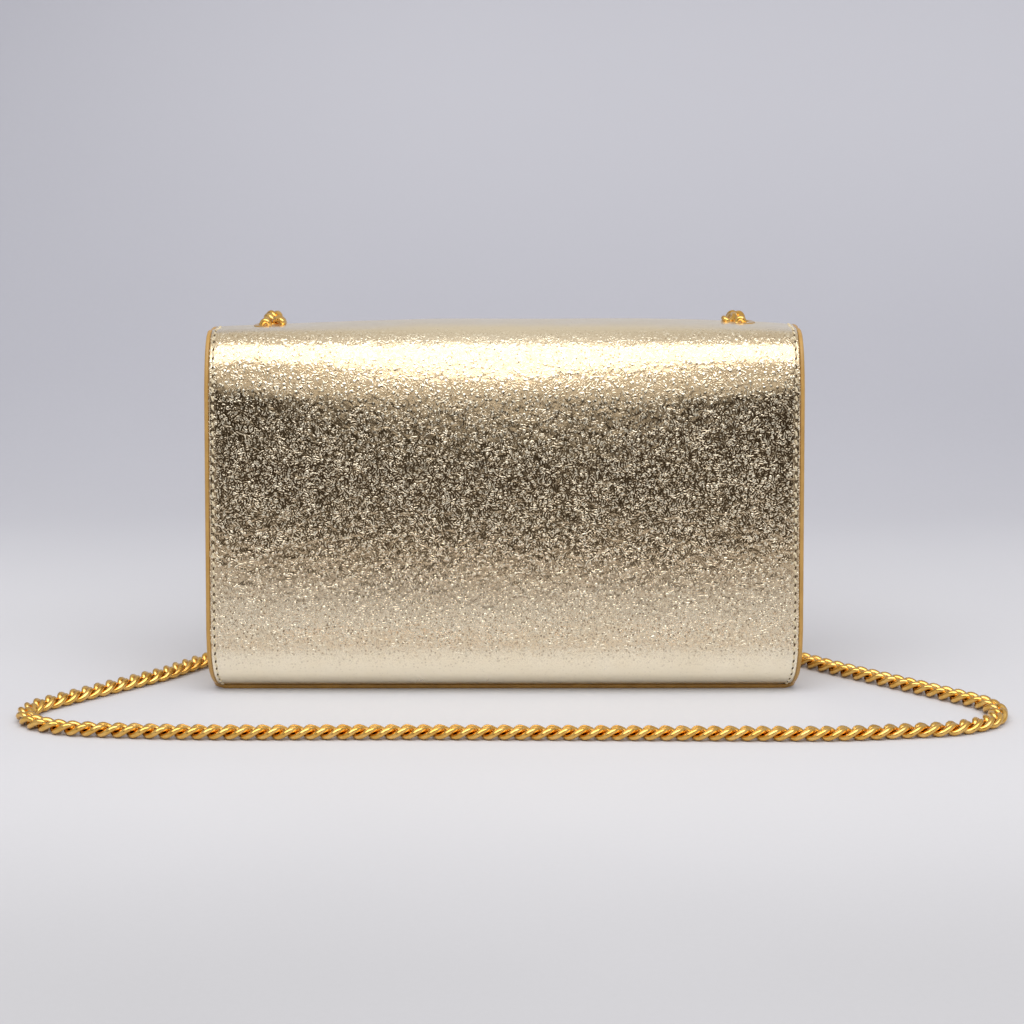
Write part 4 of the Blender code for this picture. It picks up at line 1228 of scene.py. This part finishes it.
# %% Worm grain: the embossed ridges of foil leather
def spots(tree, where, scale, low, high):
    """1 near scattered points and 0 away from them."""
    cells = add(tree, "TexVoronoi", voronoi_dimensions="2D", feature="F1", Randomness=1.0,
                Vector=where, Scale=scale)
    return ramp(tree, cells.outputs["Distance"], low, high)


def build_worm_grain():
    """Thin ridges that wander like worms, scattered facets, and slow patches of both."""
    tree, given, result = group_tree(
        "worm_grain", (("Pattern", "Vector", None), ("Pitch", "Float", 0.0011),
                       ("Wander", "Float", 0.6)), ("Ridge", "Facets", "Pits", "Patches"))
    place, pitch = given["Pattern"], given["Pitch"]
    drift = add(tree, "TexNoise", noise_dimensions="2D", Vector=place, Scale=330.0, Detail=1.0)
    centred = add(tree, "VectorMath", operation="SUBTRACT")
    give(tree, centred.inputs[0], drift.outputs["Color"])
    give(tree, centred.inputs[1], (0.5, 0.5, 0.5))
    pushed = add(tree, "VectorMath", operation="MULTIPLY_ADD")
    give(tree, pushed.inputs[0], centred.outputs[0])
    give(tree, pushed.inputs[1], times(tree, pitch, given["Wander"]))
    give(tree, pushed.inputs[2], place)
    pushed = pushed.outputs[0]
    lie = noise(tree, place, 170.0, noise_dimensions="2D")
    worms = add(tree, "TexGabor", gabor_type="2D", Frequency=2.0, Anisotropy=0.75, Vector=pushed,
                Orientation=times(tree, lie, 14.0), Scale=maths(tree, "DIVIDE", 0.5, pitch))
    give(tree, result["Ridge"], ramp(tree, worms.outputs["Value"], 0.50, 0.82))
    facet_scale, pit_scale = (maths(tree, "DIVIDE", share, pitch) for share in (0.36, 0.44))
    give(tree, result["Facets"], spots(tree, pushed, facet_scale, 0.26, 0.06))
    # Scattered points for painted shade in the grain's pits; they make no bump.
    give(tree, result["Pits"], spots(tree, place, pit_scale, 0.22, 0.08))
    patches = noise(tree, place, 150.0, noise_dimensions="2D")
    give(tree, result["Patches"], ramp(tree, patches, 0.34, 0.62))
    return tree


WORM_GRAIN = build_worm_grain()
print("the grain puts out", ", ".join(s.name for s in WORM_GRAIN.nodes["Group Output"].inputs[:4]))


# %% Crumple, mottle and rubs
def build_crumple():
    """Broad soft folds of pressed leather, between the grain and the panel in size."""
    tree, given, result = group_tree(
        "crumple", (("Pattern", "Vector", None), ("Size", "Float", 0.004)), ("Folds",))
    folds = noise(tree, given["Pattern"], maths(tree, "DIVIDE", 1.0, given["Size"]),
                  noise_dimensions="2D", Distortion=0.6)
    give(tree, result["Folds"], ramp(tree, folds, 0.2, 0.8, smooth=False))
    return tree


def build_mottle():
    """A slow unevenness, 0 to 1, for colour and roughness."""
    tree, given, result = group_tree(
        "mottle", (("Place", "Vector", None), ("Size", "Float", 0.02), ("Detail", "Float", 3.0)),
        ("Value",))
    cloud = noise(tree, given["Place"], maths(tree, "DIVIDE", 1.0, given["Size"]), given["Detail"])
    give(tree, result["Value"], ramp(tree, cloud, 0.25, 0.75, smooth=False))
    return tree


def build_rubs():
    """Fine rubs of a handled, polished surface: short scratches and smears, 0 to 1."""
    tree, given, result = group_tree(
        "rubs", (("Place", "Vector", None), ("Size", "Float", 0.002)), ("Scratches", "Smears"))
    stretched = add(tree, "Mapping", Vector=given["Place"], Rotation=(0.5, 0.9, 0.4),
                    Scale=(1, 9, 9))
    scale = maths(tree, "DIVIDE", 1.0, given["Size"])
    scratches = noise(tree, stretched.outputs[0], scale, 2.0)
    give(tree, result["Scratches"], ramp(tree, scratches, 0.45, 0.7))
    smears = noise(tree, given["Place"], scale, 2.0)
    give(tree, result["Smears"], ramp(tree, smears, 0.35, 0.7))
    return tree


CRUMPLE, MOTTLE, RUBS = build_crumple(), build_mottle(), build_rubs()
print("node groups:", WORM_GRAIN.name, CRUMPLE.name, MOTTLE.name, RUBS.name)


# %% Helpers for materials
def new_material(name, metallic=0.0, **shader_values):
    """A node material, its tree and its Principled shader with constant values set."""
    material = bpy.data.materials.new(name)
    material.use_nodes = True
    shader = material.node_tree.nodes["Principled BSDF"]
    shader.inputs["Metallic"].default_value = metallic
    for label, value in shader_values.items():
        shader.inputs[label.replace("_", " ")].default_value = value
    return material, material.node_tree, shader


def place_group(tree, group, **values):
    """The outputs of a node that uses a group, with its own values."""
    node = tree.nodes.new("ShaderNodeGroup")
    node.node_tree = group
    for label, value in values.items():
        give(tree, node.inputs[label], value)
    return node.outputs


def object_place(tree):
    """The place on the object in metres."""
    return add(tree, "TexCoord").outputs["Object"]


def pattern_place(tree):
    """The place on the flat pattern in metres."""
    return add(tree, "UVMap", uv_map="pattern").outputs["UV"]


def mottle(tree, size):
    """The mottle's value over the object, with clouds of this size."""
    return place_group(tree, MOTTLE, Place=object_place(tree), Size=size)["Value"]


def axes(tree, where):
    """The X, Y and Z of a place or a direction."""
    return add(tree, "SeparateXYZ", Vector=where).outputs


print("materials so far:", len(bpy.data.materials))

# %% Helpers for colours and bumps
def colour_between(tree, mask, low, high, blend="MIX"):
    """A colour that goes from low to high as a mask goes from 0 to 1; each may be a socket."""
    node = add(tree, "Mix", data_type="RGBA", blend_type=blend)
    give(tree, node.inputs["Factor"], mask)
    for socket, colour in ((node.inputs[6], low), (node.inputs[7], high)):
        give(tree, socket, (*colour, 1) if isinstance(colour, tuple) else colour)
    return node.outputs[2]


def value_between(tree, mask, low, high):
    """A number that goes from low to high as a mask goes from 0 to 1."""
    return maths(tree, "ADD", times(tree, mask, high - low), low)


def bump(tree, height, distance, **under):
    """A bump of a height map, this deep in metres; Normal gives another one under it."""
    return add(tree, "Bump", Strength=1.0, Distance=distance, Height=height, **under).outputs[0]


def finish(tree, shader, colour, rough, normal=None):
    """Feeds a shader its colour, its roughness and, where it has one, its bump."""
    give(tree, shader.inputs["Base Color"], colour)
    give(tree, shader.inputs["Roughness"], rough)
    if normal:
        give(tree, shader.inputs["Normal"], normal)


print("material helpers are ready")

# %% [markdown]
# ### Foil leather
#
# The leather carries a pale gold foil, pressed with a worm-like grain. The ridges show the foil's
# own pale colour, and the valleys and scattered pits are coloured darker as painted shade in the
# hollows of the grain. The ridge mask drives that colour and the bump together. Round the foot and
# the crest, hands and the bending of the leather have rubbed the grain flat, and on the lowest
# third of the back it is pressed deeper, with a thin painted shade along the flanks of its ridges.

# %% Where the grain is pressed, rubbed flat and creased
PRESSED_LOW = (0.010, 0.030)
PRESSED_HIGH = (0.158, 0.143)
POLISHED_LOW = (0.018, 0.068)
CREASED_HIGH = (0.074, 0.048)
# How dark the painted shade along the low creases is.
CREASE_SHADE = 0.70
LOW_DEPTH = 2.2


def grain_left(tree, gone, foot):
    """How much of the grain is left this far along the wrap, between the foot and the crest."""
    return times(tree, ramp(tree, gone, *foot),
                 maths(tree, "MAXIMUM", ramp(tree, gone, *PRESSED_HIGH),
                       ramp(tree, gone, FOLD_GONE, FOLD_GONE + 0.02)))


def low_crease_shade(tree, low, ridge):
    """Painted shade: thin dark lines along the flanks of the ridges, on the lowest third."""
    flank = times(tree, ramp(tree, ridge, 0.01, 0.07), ramp(tree, ridge, 0.32, 0.16))
    return times(tree, low, times(tree, flank, CREASE_SHADE))


print(f"the grain is whole from {PRESSED_LOW[1] * 1000:.0f} to {PRESSED_HIGH[1] * 1000:.0f} mm")

# %% Foil leather
GRAIN_PITCH = 0.00104
GRAIN_DEPTH = 0.00012
FOLD_SIZE = 0.0042
FOLD_DEPTH = 0.00011
# The valley and pit colours are painted shade in the hollows of the grain; the bright colour is the
# foil's own.
FOIL_VALLEY_SHADE = (0.62, 0.47, 0.29)
FOIL_BRIGHT = (1.0, 0.91, 0.72)
FOIL_PIT_SHADE = (0.26, 0.17, 0.09)
FOIL_TARNISH = (0.90, 0.84, 0.72)


def foil_leather(name, rubbed):
    """Pale gold foil leather; the rubbed one has its grain worn down as on the wrap."""
    material, tree, shader = new_material(name, metallic=1.0)
    where = pattern_place(tree)
    grain = place_group(tree, WORM_GRAIN, Pattern=where, Pitch=GRAIN_PITCH)
    pit_shade = times(tree, grain["Pits"], value_between(tree, grain["Patches"], 0.35, 1.0))
    height = maths(tree, "ADD", grain["Ridge"], times(tree, grain["Facets"], 0.8))
    height = times(tree, height, value_between(tree, grain["Patches"], 0.62, 1.0))
    clear_of_valley_shade = ramp(tree, height, 0.04, 0.42)
    folds = place_group(tree, CRUMPLE, Pattern=where, Size=FOLD_SIZE)["Folds"]
    clouds = mottle(tree, 0.012)
    rough = value_between(tree, clouds, 0.12, 0.17)
    if rubbed:
        gone = axes(tree, where)["Y"]
        left, unpolished = (grain_left(tree, gone, foot) for foot in (PRESSED_LOW, POLISHED_LOW))
        low = ramp(tree, gone, *CREASED_HIGH)
        # Painted shade in the pits, and on the lowest third along the flanks of the ridges.
        pit_shade = maths(tree, "MAXIMUM", times(tree, pit_shade, value_between(tree, left, 0.08, 1.0)),
                     low_crease_shade(tree, times(tree, low, left), grain["Ridge"]))
        height = times(tree, height, value_between(tree, left, 0.10, 1.0))
        height = times(tree, height, value_between(tree, low, 1.0, LOW_DEPTH))
        folds = times(tree, folds, value_between(tree, left, 0.35, 1.0))
        clear_of_valley_shade = maths(tree, "MAXIMUM", clear_of_valley_shade, value_between(tree, unpolished, 1.0, 0.0))
        rough = maths(tree, "ADD", rough, value_between(tree, unpolished, 0.15, 0.0))
    # Painted shade: the grain's valleys get the darker valley colour; the ridges and rubbed-flat
    # places keep the foil's colour.
    foil = colour_between(tree, clear_of_valley_shade, FOIL_VALLEY_SHADE, FOIL_BRIGHT)
    # Painted shade in the pits, and along the low creases on the wrap.
    foil = colour_between(tree, times(tree, pit_shade, 0.85), foil, FOIL_PIT_SHADE)
    foil = colour_between(tree, value_between(tree, clouds, 0.0, 0.25), foil, FOIL_TARNISH,
                          blend="MULTIPLY")
    finish(tree, shader, foil, rough,
           bump(tree, height, GRAIN_DEPTH, Normal=bump(tree, folds, FOLD_DEPTH)))
    return material


FOIL_LEATHER = foil_leather("foil_leather", True)
FOIL_LEATHER_PLAIN = foil_leather("foil_leather_plain", False)
print(f"foil leather with a grain of {GRAIN_PITCH * 1000:.2f} mm")

# %% [markdown]
# ### Edge paint, thread and holes
#
# Edge paint is a thick satin film, so it gets a higher specular level than leather, a slow
# unevenness and tiny dents. The front's outer edge, which shows at the foot, has the same paint in
# a darker tone as painted shade. The thread is two plies of matt gold, and the needle's holes are
# only painted shade: a lit pit would need far more mesh than it shows.

# %% Edge paint, thread and holes
WRAP_PAINT = ((0.42, 0.23, 0.05), (0.54, 0.31, 0.08))
# The second paint is the same edge paint in a darker tone: painted shade for the front's outer edge
# at the foot.
FOOT_PAINT_SHADED = ((0.33, 0.165, 0.022), (0.44, 0.235, 0.04))
THREAD_GOLD = ((0.62, 0.50, 0.30), (0.86, 0.76, 0.54))
# The hole's colours are painted shade.
HOLE_SHADE = ((0.05, 0.03, 0.012), (0.14, 0.09, 0.04))
PLIES_PER_METRE = 1400.0


def edge_paint(name, colours):
    """Ochre edge paint: a satin film with a slow unevenness and tiny dents."""
    material, tree, shader = new_material(name, Specular_IOR_Level=0.6)
    slow, fine = mottle(tree, 0.006), mottle(tree, 0.0008)
    finish(tree, shader, colour_between(tree, slow, *colours),
           value_between(tree, fine, 0.32, 0.5), bump(tree, fine, 0.00002))
    return material


def thread():
    """Pale gold thread: two plies that wind round each other."""
    material, tree, shader = new_material("gold_thread", Sheen_Weight=0.3)
    plies = add(tree, "TexWave", wave_type="BANDS", bands_direction="DIAGONAL",
                Vector=object_place(tree), Scale=PLIES_PER_METRE).outputs["Fac"]
    finish(tree, shader, colour_between(tree, mottle(tree, 0.002), *THREAD_GOLD),
           value_between(tree, plies, 0.65, 0.45), bump(tree, plies, 0.00004))
    return material


def needle_shadow():
    """Painted shade for the dark inside of a needle's hole."""
    material, tree, shader = new_material("needle_hole")
    fine = mottle(tree, 0.001)
    finish(tree, shader, colour_between(tree, fine, *HOLE_SHADE),
           value_between(tree, fine, 0.8, 0.95))
    return material


EDGE_PAINT = edge_paint("edge_paint", WRAP_PAINT)
SHADED_BASE_PAINT = edge_paint("base_edge_paint", FOOT_PAINT_SHADED)
THREAD, NEEDLE_HOLE_SHADE = thread(), needle_shadow()
print("finishes:", EDGE_PAINT.name, SHADED_BASE_PAINT.name, THREAD.name, NEEDLE_HOLE_SHADE.name)

# %% [markdown]
# ### Suede, board and brass
#
# Suede has a nap that lies in patches, so two sizes of the same mottle share its colour. Brass is
# a plain metal whose life comes from rubs: smears change its roughness and hair-fine scratches its
# bump. The snap's brass is paler and duller than the plated strap.

# %% Suede, board and brass
SUEDE_BROWN = ((0.25, 0.19, 0.12), (0.47, 0.38, 0.27))
BOARD_GREY = ((0.24, 0.22, 0.19), (0.38, 0.35, 0.31))
PLATED_GOLD = ((0.74, 0.43, 0.10), (0.86, 0.55, 0.18))
SNAP_GOLD = ((0.66, 0.47, 0.20), (0.80, 0.62, 0.32))


def suede(name):
    """Suede-like lining: a soft nap that lies in patches."""
    material, tree, shader = new_material(name, Sheen_Weight=0.35, Sheen_Roughness=0.6)
    nap, swept = mottle(tree, 0.0006), mottle(tree, 0.009)
    both = maths(tree, "ADD", times(tree, nap, 0.45), times(tree, swept, 0.55))
    finish(tree, shader, colour_between(tree, both, *SUEDE_BROWN),
           value_between(tree, both, 0.95, 0.8), bump(tree, nap, 0.00012))
    return material


def fibre_board():
    """Grey stiffener board with pressed fibres."""
    material, tree, shader = new_material("fibre_board")
    fibres = place_group(tree, RUBS, Place=object_place(tree), Size=0.004)
    finish(tree, shader, colour_between(tree, fibres["Scratches"], *BOARD_GREY),
           value_between(tree, fibres["Smears"], 0.8, 0.95),
           bump(tree, fibres["Scratches"], 0.00006))
    return material


def polished_brass(name, colours, roughness, size):
    """Gold-plated brass, with hair-fine rubs and smears from handling."""
    material, tree, shader = new_material(name, metallic=1.0)
    rubs = place_group(tree, RUBS, Place=object_place(tree), Size=size)
    finish(tree, shader, colour_between(tree, rubs["Smears"], *colours),
           value_between(tree, rubs["Smears"], *roughness),
           bump(tree, rubs["Scratches"], 0.000006))
    return material


SUEDE, FIBRE_BOARD = suede("suede_lining_nap"), fibre_board()
PLATED_BRASS = polished_brass("plated_brass_polish", PLATED_GOLD, (0.07, 0.16), 0.003)
SNAP_BRASS = polished_brass("snap_brass_polish", SNAP_GOLD, (0.16, 0.30), 0.002)
print("finishes:", SUEDE.name, FIBRE_BOARD.name, PLATED_BRASS.name, SNAP_BRASS.name)

# %% Giving each piece its finish
finishes = {
    FOIL_LEATHER: (wrap_skin,),
    FOIL_LEATHER_PLAIN: (front_skin, *gusset_skins),
    EDGE_PAINT: (wrap_edge, mouth_edge),
    SHADED_BASE_PAINT: (front_edge,),
    THREAD: (wrap_thread,),
    NEEDLE_HOLE_SHADE: (wrap_holes,),
    SUEDE: (*lining_skins, body_suede, pocket, flap_suede),
    PLATED_BRASS: (curb_strap, *eyelets, *end_links),
}
for material, pieces in finishes.items():
    for piece in pieces:
        piece.data.materials.clear()
        piece.data.materials.append(material)
by_slot = {"plated_brass": PLATED_BRASS, "snap_metal": SNAP_BRASS, "fibre_board": FIBRE_BOARD,
           "suede_lining": SUEDE, "gold_leather": FOIL_LEATHER}
for name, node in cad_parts.items():
    for slot in node.material_slots:
        family = next((key for key in by_slot if slot.material and key in slot.material.name), None)
        if family:
            slot.material = by_slot[family]
        else:
            print("no family for", name, slot.material and slot.material.name)
print("finishes:", ", ".join(m.name for m in finishes))

# %% [markdown]
# ## Floor and backdrop
#
# Metal is mostly a picture of its surroundings, so the room matters as much as the material. The
# floor and the wall behind are one swept sheet of grey paper, with a nearer strip of floor in
# front of the table's edge. That strip is left out of reflections, so the leather shows a dark
# band there: the gap between the table's edge and the bright horizon of the room.
#
# The paper is seen from one side only, because a view from behind would otherwise meet the back
# of the wall. More of the same paper, out of sight of the photograph's camera, carries the floor
# on and closes the room for the other views.

# %% The paper
# One paper in lit and shaded tones: painted shade on the wall and on the floor towards the front
# (-Y), painted light high on the wall.
PAPER_FLOOR = ((0.64, 0.64, 0.675), (0.69, 0.69, 0.725))
PAPER_NEAR_SHADED = ((0.50, 0.50, 0.525), (0.55, 0.55, 0.58))
PAPER_WALL_SHADED = ((0.445, 0.445, 0.495), (0.495, 0.495, 0.545))
PAPER_WALL_LIT = (0.60, 0.60, 0.65)


def paper(name):
    """Matt lilac-grey paper with a faint cloudiness and painted light and shade in its tones, that
    can be seen through from its back.
    """
    material, tree, shader = new_material(name, Specular_IOR_Level=0.2)
    clouds, fibres = mottle(tree, 0.35), mottle(tree, 0.0025)
    both = maths(tree, "ADD", times(tree, clouds, 0.8), times(tree, fibres, 0.2))
    place = axes(tree, object_place(tree))
    near, floor, wall = (colour_between(tree, both, *colours)
                         for colours in (PAPER_NEAR_SHADED, PAPER_FLOOR, PAPER_WALL_SHADED))
    # Painted light: the wall is paler high up, fading out towards -X.
    painted_light_high = times(tree, ramp(tree, place["Z"], 0.0, 0.26), ramp(tree, place["X"], -0.45, 0.0))
    wall = colour_between(tree, painted_light_high, wall, PAPER_WALL_LIT)
    floor = colour_between(tree, ramp(tree, place["Y"], -0.36, -0.12), near, floor)
    colour = colour_between(tree, ramp(tree, place["Y"], 0.10, 0.55), floor, wall)
    finish(tree, shader, colour, value_between(tree, fibres, 0.85, 0.95))
    seen = add(tree, "MixShader")
    give(tree, seen.inputs[0], add(tree, "NewGeometry").outputs["Backfacing"])
    give(tree, seen.inputs[1], shader.outputs[0])
    give(tree, seen.inputs[2], add(tree, "BsdfTransparent").outputs[0])
    give(tree, tree.nodes["Material Output"].inputs["Surface"], seen.outputs[0])
    return material


PAPER = paper("lilac_paper")
print("the paper's material is", PAPER.name)

# %% Floor and backdrop
TABLE_EDGE = -0.290
WALL_Y = 0.62
WALL_TOP = 0.75
SWEEP_RADIUS = 0.30
SWEEP_END = WALL_Y - SWEEP_RADIUS
ROOM_HALF = 3.0
SURROUND_TOP = 2.6
FAR_FLOOR_DROP = 0.0005


def paper_sheet(name, verts, faces):
    """A sheet of the paper as a piece of the stage."""
    made = new_object(name, verts, faces)
    made.data.materials.append(PAPER)
    return made


def flat_floor(name, front, back, height):
    """A level strip of the paper, as wide as the room."""
    return paper_sheet(name, [(-ROOM_HALF, front, height), (ROOM_HALF, front, height),
                              (ROOM_HALF, back, height), (-ROOM_HALF, back, height)],
                       [(0, 1, 2, 3)])


profile = [(TABLE_EDGE, 0), (SWEEP_END, 0)]
profile += [(SWEEP_END + SWEEP_RADIUS * sin(angle), SWEEP_RADIUS * (1 - cos(angle)))
            for angle in np.linspace(0, pi / 2, 17)[1:]]
profile.append((WALL_Y, WALL_TOP))
sweep = paper_sheet("paper_sweep",
                    [(side * ROOM_HALF, y, z) for y, z in profile for side in (-1, 1)],
                    [(2 * i, 2 * i + 1, 2 * i + 3, 2 * i + 2) for i in range(len(profile) - 1)])
near_floor = flat_floor("near_floor", -ROOM_HALF, TABLE_EDGE, 0)
near_floor.visible_glossy = False
far_floor = flat_floor("far_floor", SWEEP_END, ROOM_HALF, -FAR_FLOOR_DROP)
corners = [(ROOM_HALF, WALL_Y), (ROOM_HALF, -ROOM_HALF), (-ROOM_HALF, -ROOM_HALF),
           (-ROOM_HALF, WALL_Y)]
surround = paper_sheet("surround", [(x, y, z) for x, y in corners for z in (0, SURROUND_TOP)],
                       [(2 * i, 2 * i + 2, 2 * i + 3, 2 * i + 1) for i in range(3)])
surround.visible_glossy = False
surround.visible_diffuse = False
surround.visible_shadow = False
print("stage:", sweep.name, near_floor.name, far_floor.name, surround.name)

# %% [markdown]
# ## World and lamp
#
# One large soft lamp hangs above the side that the camera is on. The rest of the light is the
# world: dark below the horizon, bright from the horizon up, and greyer behind the bag. The edge
# between dark and bright is soft, because it is what the leather mirrors as a soft band.

# %% World
BELOW_HORIZON = (0.045, 0.037, 0.028)
BRIGHT_ROOM = (0.88, 0.88, 0.88)
BEHIND_BAG = (0.63, 0.59, 0.53)
HORIZON_SLOPE = 1.1
SIDE_BRIGHTNESS = 0.66


def build_world():
    """A room that is dark below the horizon, bright above it in front, and grey behind the bag."""
    world = bpy.data.worlds.new("studio")
    world.use_nodes = True
    tree = world.node_tree
    direction = axes(tree, add(tree, "TexCoord").outputs["Generated"])
    aside = maths(tree, "ABSOLUTE", direction["X"])
    above = maths(tree, "SUBTRACT", direction["Z"], times(tree, aside, HORIZON_SLOPE))
    bright = maths(tree, "POWER", ramp(tree, above, -0.14, 0.06, smooth=False), 0.9)
    sides = times(tree, ramp(tree, aside, 0.30, 0.60), SIDE_BRIGHTNESS)
    front = colour_between(tree, maths(tree, "MAXIMUM", bright, sides), BELOW_HORIZON, BRIGHT_ROOM)
    colour = colour_between(tree, ramp(tree, direction["Y"], -0.10, 0.35), front, BEHIND_BAG)
    give(tree, tree.nodes["Background"].inputs["Color"], colour)
    give(tree, tree.nodes["Background"].inputs["Strength"], 1.0)
    return world


bpy.context.scene.world = build_world()
print("the world is", bpy.context.scene.world.name)

# %% The soft lamp and the view
LAMP_PLACE = Vector((0, -0.70, 1.15))
LAMP_AIM = Vector((0, 0, 0.08))
LAMP_WIDTH = 1.8
LAMP_DEPTH = 1.0
LAMP_RADIANCE = 2.2

lamp = bpy.data.lights.new("top_softbox", "AREA")
lamp.shape = "RECTANGLE"
lamp.size, lamp.size_y = LAMP_WIDTH, LAMP_DEPTH
lamp.energy = LAMP_RADIANCE * pi * LAMP_WIDTH * LAMP_DEPTH
softbox = bpy.data.objects.new("top_softbox", lamp)
softbox.location = LAMP_PLACE
softbox.rotation_euler = (LAMP_AIM - LAMP_PLACE).to_track_quat("-Z", "Y").to_euler()
softbox.visible_camera = False
scene_collection.objects.link(softbox)
bpy.context.scene.view_settings.view_transform = "Standard"
print(f"one soft lamp of {lamp.energy:.1f} W")
